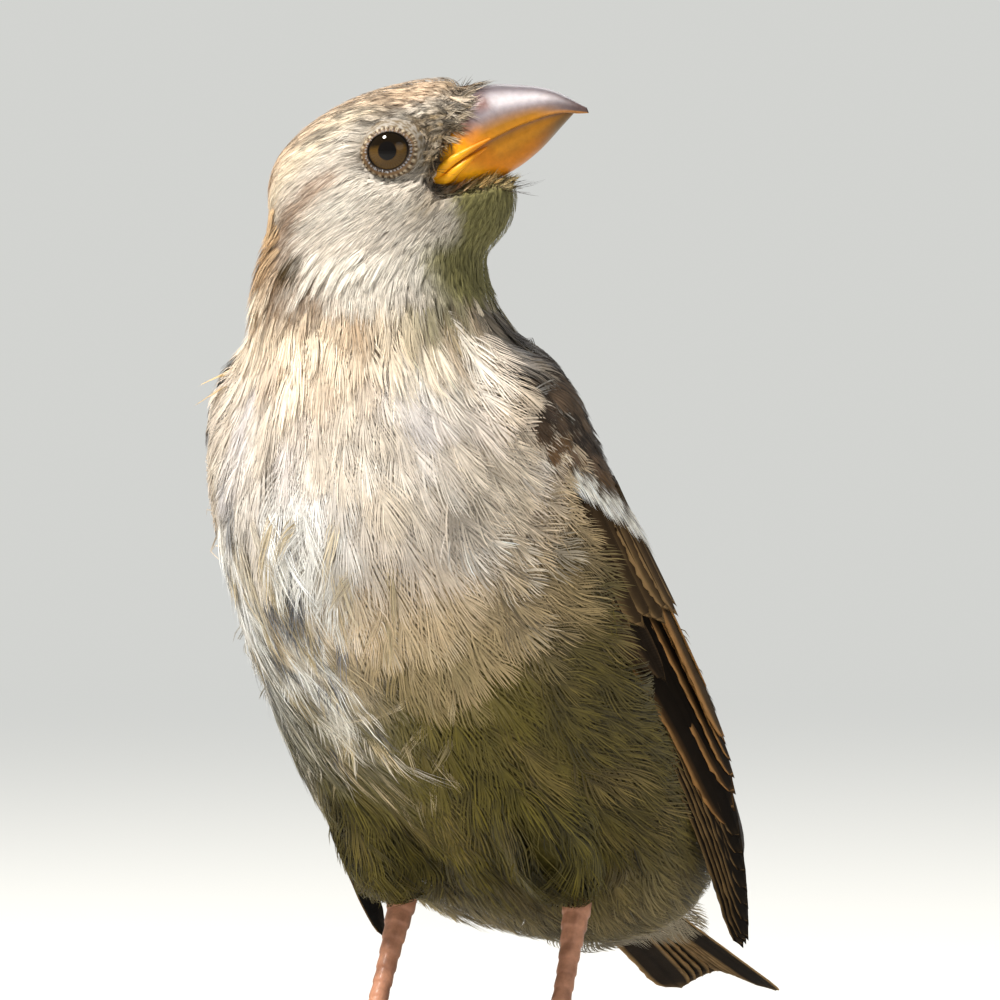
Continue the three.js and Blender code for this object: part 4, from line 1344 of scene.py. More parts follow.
def bead_tint(points):
    a, p, _ = head_coordinates(points)
    turn = np.arctan2(p - EYE_UP, a - EYE_FORWARD)
    reach = np.hypot((a - EYE_FORWARD) / LID_WIDE, (p - EYE_UP) / LID_TALL)
    odd = smooth(np.sin(turn * 7.3) + 0.5 * np.sin(turn * 17), 0.3, 1.1)
    front = smooth(np.cos(turn + 0.5), 0.2, 0.9)
    pale = mix(filled(LID_BLUE, len(a)), LID_PALE, smooth(reach, 1.13, 1.2))
    tone = mix(pale, LID_TAN, 0.25 + front * 0.35 + 0.3 * smooth(np.sin(turn), 0.2, 0.7))
    return mix(tone, LID_DARK, 0.45 * odd)


for side, label in ((-1, "right"), (1, "left")):
    finished("lid_beads_" + label, lid_beads(side), bead_tint, lid_material, "head_plumage")

# ---- legs and feet ------------------------------------------------------------------------
HEEL = np.array([9.6, 31.5, 17.2])
FOOT = np.array([10.2, 22.5, 1.7])
TARSUS_PATH = np.array([HEEL, [9.9, 27.4, 9.8], [10.1, 23.6, 3.6], FOOT - [0, 0.2, 0.35]])
TARSUS_RADII = [1.5, 1.05, 0.98, 1.2]
TOE_RADIUS = 0.86
LEG_PINK = colour("B98468")
LEG_BROWN = colour("8A5E48")
CLAW_HORN = colour("4A382C")
TOES = {1: (7.6, 6.0, 178), 2: (9.6, 4.6, -27), 3: (13.4, 5.0, 3), 4: (10.0, 4.4, 32)}


def scutes(count, depth):
    """Overlapping plates down the front of a leg or toe."""
    def ridge(t, turn):
        step = (t * count) % 1
        return 1 + depth * (smooth(step, 0, 0.75) - smooth(step, 0.82, 1.0) - 0.4)
    return ridge


def leg_tint(points):
    streak = waves(points, 2.2, 41)
    tone = mix(filled(LEG_PINK, len(points)), LEG_BROWN, smooth(streak, -0.3, 0.9) * 0.7)
    return mix(tone, LEG_BROWN * 0.7, smooth(points[:, 2], 1.2, 0.2) * 0.5)


leg_material = horn_material("leg_scales", 0.5, 0.1, 2200.0, 0.16, 0.5)
claw_material = horn_material("claw_horn", 0.35, 0.3, 2600.0, 0.2, 0.3)


def add_leg(side, label):
    mirror = np.array([side, 1, 1])
    shank = tube(TARSUS_PATH * mirror, TARSUS_RADII, 22, 150, scutes(11, 0.09))
    finished("tarsus_scales_" + label, shank, leg_tint, leg_material, "leg_scales", "tarsus_" + label)
    for number, (reach, claw, heading) in TOES.items():
        turn = math.radians(heading)
        ahead = np.array([math.sin(turn) * side, -math.cos(turn), 0])
        foot = FOOT * mirror
        ground = np.array([0, 0, TOE_RADIUS - FOOT[2] + 0.02])
        start = foot + np.array([0, 0, -0.3])
        knuckles = [start, foot + ahead * reach * 0.3 + ground * 0.62,
                    foot + ahead * reach * 0.62 + ground * 0.9, foot + ahead * reach + ground]
        toe = tube(knuckles, [1.0, 0.9, TOE_RADIUS, 0.66], 18, 120, toe_ridge(number))
        name = "toe_scales_%s_%d" % (label, number)
        finished(name, toe, leg_tint, leg_material, "leg_scales", "toe_%s_%d" % (label, number))
        tip = foot + ahead * reach + ground
        hook = [tip - ahead * 0.5 + [0, 0, 0.1], tip + ahead * claw * 0.35 + [0, 0, 0.42],
                tip + ahead * claw * 0.72 + [0, 0, 0.12], tip + ahead * claw * 0.98 + [0, 0, -0.62]]
        nail = tube(hook, [0.5, 0.46, 0.3, 0.06], 14, 40)
        finished("claw_horn_%s_%d" % (label, number), nail, lambda q: filled(CLAW_HORN, len(q)),
                 claw_material, "claw_horn", "claw_%s_%d" % (label, number))


def toe_ridge(number):
    plates = scutes(6 + 2 * number, 0.08)

    def ridge(t, turn):
        pads = 0.07 * np.cos(t * 2 * math.pi * (1.5 + number * 0.5))
        return plates(t, turn) + pads
    return ridge


for side, label in ((-1, "right"), (1, "left")):
    add_leg(side, label)

# ---- wings --------------------------------------------------------------------------------
VANE_DARK = colour("261D14")
VANE_BROWN = colour("4E3D2A")
VANE_BUFF = colour("C09A68")
VANE_RUFOUS = colour("AC7E4C")
VANE_PINK = colour("A88A74")
VANE_WHITE = colour("FBF5EA")
COVERT_EDGE = colour("94764F")


def wing_point(side, s, h, lift):
    s, h, lift = np.broadcast_arrays(np.asarray(s, float), h, lift)
    x = wing_reach(s, h) + lift
    spot = WING_BEND + s[..., None] * WING_ALONG + h[..., None] * WING_ACROSS
    return np.concatenate([x[..., None] * side, spot[..., 1:]], -1)


def surface_shafts(place, s0, h0, s1, h1, lift0, lift1, steps, bow=0.0):
    """Shaft lines over a surface place(s, h, lift), with their normals and headings."""
    f = np.linspace(0, 1, steps + 1)
    s = s0[:, None] + (s1 - s0)[:, None] * f
    h = h0[:, None] + (h1 - h0)[:, None] * f + bow * np.sin(f * math.pi)
    lift = lift0[:, None] + (lift1 - lift0)[:, None] * f
    points = place(s, h, lift)
    step = 0.05
    run_s = place(s + step, h, lift) - place(s - step, h, lift)
    run_h = place(s, h + step, lift) - place(s, h - step, lift)
    raised = place(s, h, lift + step) - points
    normals = unit(np.cross(run_s, run_h))
    normals *= np.sign((normals * raised).sum(-1, keepdims=True))
    headings = unit(np.gradient(points, axis=1))
    return points, normals, headings


def vane_feathers(name, shaft, widths, tints, rows, columns, shape, seed):
    """One joined mesh of closed vanes with a raised shaft, each on its own strip of the map."""
    draw = np.random.default_rng(seed)
    points, normals, headings = shaft
    n = len(points)
    s = np.linspace(0, 1, rows)
    j = np.sin(np.linspace(-1, 1, columns) * math.pi / 2)
    grow = smooth(s, -0.02, 0.2) * 0.75 + 0.25
    tip = np.sqrt(np.clip(1 - (np.clip(s - shape["tip"], 0, 1) / (1 - shape["tip"])) ** 2, 0.0, 1))
    half = widths[:, None] * (grow * tip + 0.01)
    fray = draw.normal(0, shape["fray"], (n, rows, columns)) * (np.abs(j) > 0.85)
    x = half[..., None] * (j + fray)
    at = np.broadcast_to(s[None, :, None], x.shape)
    back = shape["point"] * np.abs(j) ** 2 * smooth(s, 0.5, 1)[:, None]
    at = at - back[None] * np.ones((n, 1, 1))
    centre = along_shaft(points, at)
    up = unit(along_shaft(normals, at))
    side = unit(np.cross(up, along_shaft(headings, at)))
    camber = -shape["camber"] * x ** 2 / np.maximum(widths, 0.5)[:, None, None]
    quill = shape["quill"] * np.exp(-(x / 0.22) ** 2) * (1 - 0.7 * at)
    middle = centre + side * x[..., None] + up * camber[..., None]
    upper = middle + up * (quill + shape["thick"] / 2)[..., None]
    inside = (slice(None), slice(1, -1), slice(1, -1))
    lower = (middle - up * (shape["thick"] / 2))[inside].reshape(n, -1, 3)
    verts = np.concatenate([upper.reshape(n, -1, 3), lower], 1)
    top = np.arange(rows * columns).reshape(rows, columns)
    bottom = top.copy()
    bottom[1:-1, 1:-1] = rows * columns + np.arange((rows - 2) * (columns - 2)).reshape(rows - 2, -1)

    def cells(grid):
        return np.stack([grid[:-1, :-1], grid[:-1, 1:], grid[1:, 1:], grid[1:, :-1]], -1).reshape(-1, 4)

    faces = np.concatenate([cells(top), cells(bottom)[:, ::-1]])
    quads = (np.arange(n)[:, None, None] * verts.shape[1] + faces[None]).reshape(-1, 4)
    mesh, corners = faces_mesh(name, verts.reshape(-1, 3), quads, np.zeros((0, 3), int))
    shade = tints(at, np.broadcast_to(j, x.shape), draw)
    across = np.broadcast_to(j, x.shape)

    def both(values):
        return np.concatenate([values.reshape(n, rows * columns, -1),
                               values[inside].reshape(n, (rows - 2) * (columns - 2), -1)], 1)

    paint(mesh, both(shade).reshape(-1, 3))
    strip_u = (np.arange(n)[:, None, None] + 0.5 + 0.46 * across) / n
    strip = both(np.stack([strip_u, 0.02 + 0.96 * np.clip(at, 0, 1)], -1)).reshape(-1, 2)
    add_map(mesh, "OFBake", strip[corners])
    length = np.linalg.norm(points[:, -1] - points[:, 0], axis=1)[:, None, None]
    vane = both(np.stack([np.abs(x) / 10, at * length / 10], -1)).reshape(-1, 2)
    add_map(mesh, "Vane", vane[corners])
    mesh.calc_loop_triangles()
    print(name, n, "vanes", len(mesh.loop_triangles), "triangles")
    return mesh


def vane_material(name, roughness):
    """Tint with fine slanting barbs, read from the Vane map: across and along, in centimetres."""
    material = painted_material(name, 900.0, 0.12, roughness, specular=0.03)
    tree = material.node_tree
    shader = tree.nodes["Principled BSDF"]
    mottle = next(n for n in tree.nodes if n.type == "GROUP")
    flat = node(tree, "ShaderNodeUVMap", uv_map="Vane")
    parts = node(tree, "ShaderNodeSeparateXYZ")
    slant = node(tree, "ShaderNodeMath", operation="MULTIPLY_ADD")
    slant.inputs[1].default_value = -1.3
    turns = node(tree, "ShaderNodeMath", operation="MULTIPLY")
    turns.inputs[1].default_value = 2 * math.pi * 10 / 0.24
    wave = node(tree, "ShaderNodeMath", operation="SINE")
    shade = node(tree, "ShaderNodeMapRange")
    shade.inputs["From Min"].default_value = -1.0
    shade.inputs["To Min"].default_value = 0.72
    shade.inputs["To Max"].default_value = 1.14
    times = node(tree, "ShaderNodeMix", data_type="RGBA", blend_type="MULTIPLY")
    times.inputs["Factor"].default_value = 1.0
    lift = node(tree, "ShaderNodeBump")
    lift.inputs["Strength"].default_value = 0.5
    lift.inputs["Distance"].default_value = 0.00006
    link = tree.links.new
    link(flat.outputs["UV"], parts.inputs["Vector"])
    link(parts.outputs["X"], slant.inputs[0])
    link(parts.outputs["Y"], slant.inputs[2])
    link(slant.outputs[0], turns.inputs[0])
    link(turns.outputs[0], wave.inputs[0])
    link(wave.outputs[0], shade.inputs["Value"])
    link(mottle.outputs["Color"], times.inputs["A"])
    link(shade.outputs["Result"], times.inputs["B"])
    link(times.outputs["Result"], shader.inputs["Base Color"])
    link(wave.outputs[0], lift.inputs["Height"])
    link(lift.outputs["Normal"], shader.inputs["Normal"])
    return material


flight_material = vane_material("flight_feathers", 0.8)
VANE_SHAPE = {"tip": 0.72, "fray": 0.03, "point": 0.03, "camber": 0.12, "quill": 0.16,
              "thick": 0.14}


def edged(dark, edge, start, end, lower_only=0.0, tip=0.0, flip=1):
    """Dark vane with a coloured margin, wider on the exposed lower web."""
    def tints(s, j, draw):
        n = len(s)
        low = smooth(-j * flip, start, end)
        high = smooth(j * flip, start, end) * (1 - lower_only)
        margin = np.clip(low + high + tip * smooth(s, 0.93, 1.0), 0, 1) * smooth(s, 0.1, 0.3)
        shaft_line = np.exp(-(j / 0.06) ** 2)
        tone = mix(np.broadcast_to(dark, s.shape + (3,)), edge, margin)
        tone = mix(tone, dark * 0.5, 0.6 * shaft_line)
        return tone * draw.normal(1, 0.06, (n, 1, 1, 1)) * draw.normal(1, 0.05, s.shape)[..., None]
    return tints


def count_up(number):
    return np.arange(number, dtype=float)


def add_wing(side, label, seed):
    def place(s, h, lift):
        return wing_point(side, s, h, lift)

    def group(name, s0, h0, s1, h1, lift0, lift1, width, tints, node_name=None, rows=26,
              columns=11, shape=VANE_SHAPE, slot="flight_feathers", bow=0.0):
        fields = np.broadcast_arrays(*(np.asarray(v, float) for v in (s0, h0, s1, h1, lift0, lift1, width)))
        s0, h0, s1, h1, lift0, lift1, width = (np.array(v) for v in fields)
        shaft = surface_shafts(place, s0, h0, s1, h1, lift0, lift1, 12, bow)
        full = "wing_%s_%s" % (label, name)
        mesh = vane_feathers(full, shaft, width, tints, rows, columns, shape, seed)
        add_piece(full, mesh, flight_material, slot, *([node_name] if node_name else []))

    flip = side
    i = count_up(9)
    group("primary_vanes", 26, -0.6 + 0.5 * i, 75.6 - 1.75 * np.clip(i - 2, 0, None) ** 1.1,
          0.3 + 0.62 * i - 0.05 * i ** 1.6, -1.15 + 0.1 * i, -0.75 + 0.07 * i, 2.0,
          edged(VANE_DARK * 0.4, VANE_BUFF * 0.45, 0.9, 1.0, 0.8, 0.1, flip),
          "wing_%s_primaries" % label, rows=34, shape=dict(VANE_SHAPE, tip=0.86, point=0.02))
    i = count_up(7)
    group("secondary_vanes", 24, 0.4 + 1.9 * i, 61.0 - 1.1 * i, 3.4 + 1.25 * i, -0.7 + 0.1 * i,
          -0.3 + 0.1 * i, 2.9, edged(VANE_DARK * 0.6, VANE_RUFOUS, 0.75, 0.98, 0.5, 0.3, flip),
          "wing_%s_secondaries" % label, rows=34)
    i = count_up(3)
    group("tertial_vanes", 22 - 2 * i, 8.5 + 2.9 * i, 52.8 - 4.2 * i, 8.2 + 2.7 * i, 0.2 + 0.16 * i,
          0.35 + 0.2 * i, 3.9 - 0.2 * i, edged(VANE_BROWN * 0.75, VANE_RUFOUS, 0.55, 0.9, 0.1, 0.8, flip),
          rows=34, columns=15, shape=dict(VANE_SHAPE, tip=0.7))
    i = count_up(6)
    group("primary_covert_vanes", 14, -1.9 + 0.32 * i, 33.5 + 0.9 * i, -1.3 + 0.5 * i,
          -0.45 + 0.06 * i, -0.3 + 0.06 * i, 1.5, edged(VANE_DARK, VANE_BROWN, 0.6, 0.95, 0.3, 0.2, flip))
    group("alula_vanes", [8, 7, 6], [-2.0, -1.6, -1.1], [25.5, 21.5, 17.5], [-1.9, -1.4, -0.9],
          [0.0, 0.08, 0.16], [0.05, 0.14, 0.22], 1.5, edged(VANE_DARK, VANE_BUFF, 0.7, 0.98, 0.5, 0.2, flip))
    i = count_up(10)
    group("greater_covert_vanes", 11 + 1.1 * i, -1.2 + 1.75 * i,
          28.5 + 1.2 * i + 0.7 * np.sin(2.7 * i), -0.9 + 1.72 * i, 0.3 + 0.09 * i, 0.5 + 0.1 * i, 2.2,
          edged(VANE_BROWN * 0.8, COVERT_EDGE, 0.45, 0.9, 0.3, 0.5, flip), "wing_%s_coverts" % label,
          shape=dict(VANE_SHAPE, tip=0.6, fray=0.05, point=0.06), slot="wing_coverts")

    draw = np.random.default_rng(seed + 3)

    def soft(name, s0, h0, s1, h1, lift0, lift1, width, tip_tone, base_tone, start, barbs):
        shaft = surface_shafts(place, s0, h0, s1, h1, lift0, lift1, 5)
        n = len(s0)

        def tints(s, j, shade):
            tone = mix(base_tone[:, None, None, :], tip_tone[:, None, None, :],
                       smooth(s + 0.06 * shade.normal(size=(n, barbs, 1)), start, start + 0.22))
            return tone * shade.normal(1, 0.22, (n, barbs, 1, 1)) * shade.normal(1, 0.1, (n, 1, 1, 1))

        flat = np.stack([0.02 + 0.96 * (s0 + 6) / 84, 0.02 + 0.96 * (h0 + 6) / 28], 1)
        full = "wing_%s_%s" % (label, name)
        mesh = barb_feathers(full, shaft, width, tints, flat, barbs, 3, COVERT_SHAPE, seed + 5)
        add_piece(full, mesh, plume_material, "wing_coverts")

    def covert_line(h):
        """Where along the wing the median coverts end."""
        return 12 + 17.6 * (np.clip(h - 1.3, 0, None) / 9.7) ** 0.87

    i = count_up(12)
    tip_h = 0.9 + 0.95 * i
    tip_s = covert_line(tip_h) + 0.7 * np.sin(i * 2.3)
    pale = filled(VANE_WHITE, 12)
    dark = filled(VANE_BROWN, 12)
    soft("median_coverts", tip_s - 9, tip_h - 0.6, tip_s, tip_h, np.full(12, 0.3), 0.8 + 0.07 * i,
         np.full(12, 1.3), pale, dark, 0.5, 44)
    soft("median_tips", tip_s - 8, tip_h - 0.1, tip_s - 1.6, tip_h + 0.5, np.full(12, 0.4),
         1.0 + 0.07 * i, np.full(12, 0.9), pale, dark, 0.62, 30)
    rows = []
    for k in range(7):
        for h in np.arange(-1.2, 14.5, 1.5):
            tip = covert_line(h) - 4.4 - 2.3 * k
            if tip > 2.0:
                rows.append((tip + draw.uniform(-0.5, 0.5), h + draw.uniform(-0.4, 0.4), 1.1 + 0.05 * k, k))
    tips = np.array(rows)
    n = len(tips)
    tone = mix(filled(VANE_RUFOUS * 0.3, n), VANE_PINK * 0.5, draw.random(n)[:, None] * 0.6)
    upper = mix(filled(MANTLE_BLACK, n), MANTLE, draw.random(n) * 0.45)
    tone = mix(tone, upper, smooth(tips[:, 3], 0.5, 2.5))
    tone = tone * draw.normal(1, 0.15, (n, 1))
    soft("lesser_coverts", tips[:, 0] - 5.5, tips[:, 1] - 0.3, tips[:, 0], tips[:, 1],
         np.full(n, 0.0), tips[:, 2] - 0.15, np.full(n, 1.7), tone, tone * 0.45, 0.4, 30)

    def slab(u, v):
        turn = u * 2 * math.pi
        s = -3 + 70 * v
        low, high = curve(s, WING_AT, WING_LOW) + 0.6, curve(s, WING_AT, WING_HIGH) - 0.7
        close = np.sqrt(np.clip(np.minimum(v, 1 - v) / 0.03, 0, 1))
        h = (low + high) / 2 + (high - low) / 2 * np.cos(turn)
        depth = -0.95 + 0.3 * np.sin(turn) * close
        return wing_point(side, s, h, depth)

    finished("wing_%s_underlay" % label, wrapped(40, 60, slab),
             lambda q: filled(VANE_DARK * 0.9, len(q)), skin_material, "flight_feathers")


COVERT_SHAPE = dict(BODY_SHAPE, root=0.1, spread=0.6, clump=0.05, stray=0.05, lift=0.06, cup=0.1,
                    fill=0.75, roll=0.15)
add_wing(1, "left", 301)
add_wing(-1, "right", 401)

# ---- tail ---------------------------------------------------------------------------------
TAIL_ROOT = np.array([0, 49.0, 22.5])
TAIL_LENGTH = 54.0
TAIL_PITCH = math.radians(19.5)
TAIL_NOTCH = 2.6
TAIL_ALONG = np.array([0, math.cos(TAIL_PITCH), -math.sin(TAIL_PITCH)])
TAIL_UP = np.array([0, math.sin(TAIL_PITCH), math.cos(TAIL_PITCH)])


def tail_point(s, h, lift):
    s, h, lift = np.broadcast_arrays(np.asarray(s, float), h, lift)
    x = h[..., None] * np.array([1.0, 0, 0])
    return TAIL_ROOT + s[..., None] * TAIL_ALONG + x + (lift - 0.02 * h ** 2)[..., None] * TAIL_UP


order = np.concatenate([np.arange(-5.5, 0, 1), np.arange(0.5, 6, 1)])
order = order[np.argsort(-np.abs(order))]
far = np.abs(order)
shaft = surface_shafts(tail_point, np.full(12, 6.0), order * 0.35, TAIL_LENGTH - TAIL_NOTCH
                       + TAIL_NOTCH * (far / 5.5) ** 1.5, order * 0.98, 0.55 - 0.16 * far,
                       0.5 - 0.14 * far, 12)
tail_mesh = vane_feathers("tail_vanes", shaft, np.full(12, 2.1), edged(VANE_DARK * 1.15, VANE_BUFF * 0.8,
                          0.72, 0.98, 0.0, 0.4), 34, 13, dict(VANE_SHAPE, tip=0.88, point=0.015), 501)
add_piece("tail_vanes", tail_mesh, flight_material, "tail_feathers", "tail")


def rump_point(s, turn, lift):
    """Round the tail's root: s along the tail, turn in fifths of a radian from its right edge."""
    s, turn, lift = np.broadcast_arrays(np.asarray(s, float), turn, lift)
    wide = np.interp(s, [2, 16, 26, 40], [7.6, 6.6, 5.6, 4.4]) + lift
    deep = np.where(np.sin(turn / 5) > 0, np.interp(s, [2, 16, 40], [2.6, 1.8, 0.9]),
                    np.interp(s, [2, 10, 18, 26, 40], [10.6, 9.4, 6.2, 3.0, 1.1])) + lift
    x = wide * np.cos(turn / 5)
    return (TAIL_ROOT + s[..., None] * TAIL_ALONG + x[..., None] * np.array([1.0, 0, 0])
            + (deep * np.sin(turn / 5))[..., None] * TAIL_UP)


def add_tail_coverts():
    draw = np.random.default_rng(511)
    rows = []
    for row, s in enumerate((2.0, 6.0, 10.0, 14.0, 18.0)):
        for turn in np.arange(0, 10 * math.pi, 2.3):
            if row <= 3 or math.sin(turn / 5) < 0:
                rows.append((s + draw.uniform(-1.2, 1.2), turn + draw.uniform(-0.7, 0.7) + row))
    s0, turn = np.array(rows).T
    n = len(s0)
    shaft = surface_shafts(rump_point, s0, turn, s0 + draw.uniform(11, 14, n), turn,
                           np.full(n, -1.6), np.full(n, 0.5), 6)
    above = (np.sin(turn / 5) > 0)[:, None]
    tone = np.where(above, RUMP, mix(VENT, BREAST, 0.35)) * draw.normal(1, 0.08, (n, 1))

    def tints(s, j, shade):
        core = 0.35 * smooth(np.abs(j), 0.4, 0.1) * smooth(s, 0.3, 0.6)
        shown = tone[:, None, None, :] * (1 - core[..., None])
        lit = smooth(np.maximum(s, 0.7 * np.abs(j)), 0.1, 0.5)
        shown = shown * mix(np.full(s.shape, 0.6), np.ones(s.shape), lit)[..., None]
        return shown * shade.normal(1, 0.12, (n, 28, 1, 1))

    flat = np.stack([0.02 + 0.96 * (turn % (10 * math.pi)) / (10 * math.pi), 0.05 + s0 / 30], 1)
    widths = draw.uniform(2.4, 3.2, n)
    mesh = barb_feathers("tail_coverts", shaft, widths, tints, flat, 28, 4, BODY_SHAPE, 512)
    add_piece("tail_coverts", mesh, plume_material, "body_plumage")


add_tail_coverts()

# ---- feathers that cross from body to wing ------------------------------------------------
envelope_mesh = build_envelope()
envelope_tree = build_tree(envelope_mesh)


def shoulder_keep(points):
    """In front of and above each wing's bend."""
    s, h = wing_coordinates(points)
    _, angle, _ = body_coordinates(points)
    side = np.abs(points[:, 0])
    limit = 3.4 + 0.3 * np.clip(h, -4, 4) + 2.5 * smooth(h, -3, 2)
    near = (s > -14) & (s < limit) & (h > -9) & (h < 13)
    return (near & (side > 8.5) & (angle < 1.5)).astype(float)


def mantle_keep(points):
    """Back and rump between the wings, and the scapulars over their upper edge."""
    s, h = wing_coordinates(points)
    along, angle, _ = body_coordinates(points)
    upper = h > curve(s, WING_AT, WING_HIGH) - 5.0 - 0.12 * np.clip(14 - s, 0, 20)
    start = np.interp(along, [9, 24, 30], [1.42, 1.5, 1.75])
    return ((angle > start) & upper & (along > 9) & (along < 66)).astype(float)


def mantle_streaks(tone, s, j):
    """Dark middles and buff margins on the back's feathers."""
    core = smooth(np.abs(j), 0.62, 0.3) * smooth(s, 0.2, 0.45) * smooth(s, 1.0, 0.86)
    return mix(tone, np.broadcast_to(MANTLE_BLACK, tone.shape), 0.85 * core)


roots, normals = scatter(envelope_mesh, even(1.75), shoulder_keep, 6000, 111)
coat_piece("shoulder_feathers", roots, varied(np.full(len(roots), 8.0)),
           varied(np.full(len(roots), 2.5)), np.full(len(roots), 0.9), 22, 4, BODY_SHAPE, seed=41,
           tree=envelope_tree, flare=0.2, shift=body_shift, base=0.8)
roots, normals = scatter(envelope_mesh, even(2.2), mantle_keep, 9000, 112)
coat_piece("mantle_feathers", roots, varied(np.full(len(roots), 9.5)),
           varied(np.full(len(roots), 2.7)), np.full(len(roots), 0.8), 30, 4,
           dict(BODY_SHAPE, fill=0.42), seed=43, tree=envelope_tree, streak=mantle_streaks)


def flank_keep(points):
    """Along the lower edge of each wing."""
    s, h = wing_coordinates(points)
    low = curve(s, WING_AT, WING_LOW)
    upper = low + np.interp(s, [-1, 3, 12, 22, 40, 55], [2.0, 0.5, -1.5, -5.0, -3.5, -2.0])
    return ((s > -3) & (s < 60) & (h < upper) & (h > low - 10.0) & (np.abs(points[:, 0]) > 9)).astype(float)


roots, normals = scatter(envelope_mesh, even(1.9), flank_keep, 10000, 113)
s_at = wing_coordinates(roots)[0]
leaning = np.interp(s_at, [0, 14, 30, 58], [0.1, 0.3, 0.6, 0.9]) * np.where(roots[:, 0] > 0, 1.0, 0.6)
coat_piece("flank_feathers", roots, varied(np.interp(s_at, [0, 12, 30, 58], [8.0, 9.5, 11.0, 12.5]), 0.15),
           varied(np.full(len(roots), 3.1)), 1.0 + leaning, 28, 4,
           dict(BODY_SHAPE, ragged=0.06, stray=0.03, lift=0.1), seed=45, tree=envelope_tree,
           flare=leaning * 0.6, wander=0.1, shift=body_shift, base=0.4, down_and_shade_from=0.3, down_and_shade_to=0.9,
           strand=0.24)


# ---- short feathers and bristles round the bill -------------------------------------------
def straight_shafts(roots, directions, normals, lengths, lifts, steps, bend):
    f = np.linspace(0, 1, steps + 1)[None, :, None]
    run = directions[:, None] * lengths[:, None, None] * f
    rise = normals[:, None] * lifts[:, None, None] * f ** 1.3
    points = roots[:, None] + run + rise + np.array(bend) * lengths[:, None, None] * f ** 2
    headings = unit(np.gradient(points, axis=1))
    return points, np.broadcast_to(normals[:, None], points.shape), headings


def over_bill(points, lift):
    """Moves points that would sink into the bill out to lie on it."""
    flat = points.reshape(-1, 3)
    places, normals = onto(bill_tree, flat)
    out = ((flat - places) * normals).sum(1)
    near = np.linalg.norm(flat - places, axis=1) < 3.0
    push = np.where(near & (out < lift), lift - out, 0.0)
    return (flat + normals * push[:, None]).reshape(points.shape)


def rim_keep(points):
    """Close round the bill's base."""
    a, _, _ = head_coordinates(points)
    gap = bill_gap(points)
    return ((gap > 0.1) & (gap < 1.5) & (a > 4.5)).astype(float)


def corner_keep(points):
    """Below the corner of the mouth."""
    a, p, _ = head_coordinates(points)
    return rim_keep(points) * (a < 10.5) * smooth(p, -1.2, -2.4)


def add_rim(name, keep, spacing, lengths, width, strands, seed, tone_shift):
    roots, normals = scatter(skin_mesh, even(spacing), keep, 9000, seed)
    draw = np.random.default_rng(seed)
    n = len(roots)
    _, p, _ = head_coordinates(roots)
    top = smooth(p, 0.5, 3.5)
    below = smooth(p, -1.5, -3.0)
    aim = mix(lie(roots, normals) * 0.7 + HEAD_FORWARD * 0.25, HEAD_FORWARD * 0.95 - HEAD_UP * 0.22, top)
    aim = mix(aim, HEAD_FORWARD * 0.8 + HEAD_UP * 0.3, below)
    aim = aim + draw.normal(0, 0.25, (n, 3))
    aim = unit(aim - (aim * normals).sum(1)[:, None] * normals * 0.6)
    length = draw.uniform(*lengths, n) * np.interp(p, [-6, -3, 0.5, 3.0, 5.5], [0.7, 1.0, 1.0, 1.5, 2.1])
    rise = length * mix(np.full(n, 0.3), 0.0, top)
    starts = roots - normals * 0.15
    points, facing, _ = straight_shafts(starts, aim, normals, length, rise, 4, (0, 0, 0))
    points = over_bill(points, 0.22)
    shaft = (points, facing, unit(np.gradient(points, axis=1)))
    tips = mix(marks(roots), LORES, 0.6 * smooth(p, -0.8, 0.4) * smooth(p, 3.6, 2.6))
    tips = mix(tips, LORES * 1.1, 0.55 * smooth(p, -2.5, -4.5)) * tone_shift * (0.9 + 0.5 * below)[:, None]
    tips = tips * np.where(draw.random(n) < 0.3, 0.3 + 0.35 * below, 1.0)[:, None]

    def tints(s, j, shade):
        tone = np.broadcast_to(tips[:, None, None, :], s.shape + (3,))
        tone = tone * mix(np.full(s.shape, 0.7), np.ones(s.shape), smooth(s, 0.1, 0.6))[..., None]
        return tone * shade.normal(1, 0.25, (n, strands, 1, 1)) * shade.normal(1, 0.15, (n, 1, 1, 1))

    shape = dict(HEAD_SHAPE, spread=0.1, stray=0.3, fill=0.34)
    mesh = barb_feathers(name, shaft, np.full(n, width), tints, unwrap(roots), strands, 3, shape, seed)
    add_piece(name, mesh, plume_material, "head_plumage")


add_rim("rim_feathers", rim_keep, 0.38, (0.9, 1.8), 0.32, 6, 121, 1.0)
add_rim("corner_feathers", corner_keep, 0.5, (1.8, 2.9), 0.4, 8, 122, np.array([1.15, 0.94, 0.74]))


def bristle_keep(points):
    """Round the bill's base, thickest at the corner of the mouth and above it."""
    a, p, _ = head_coordinates(points)
    gap = bill_gap(points)
    corner = np.exp(-((p + 1.6) / 2.2) ** 2) + 0.7 * np.exp(-((p - 3.6) / 1.6) ** 2)
    return ((gap > 0.05) & (gap < 1.6) & (a > 4.0)) * (0.12 + corner) * smooth(p, -8.0, -6.0)


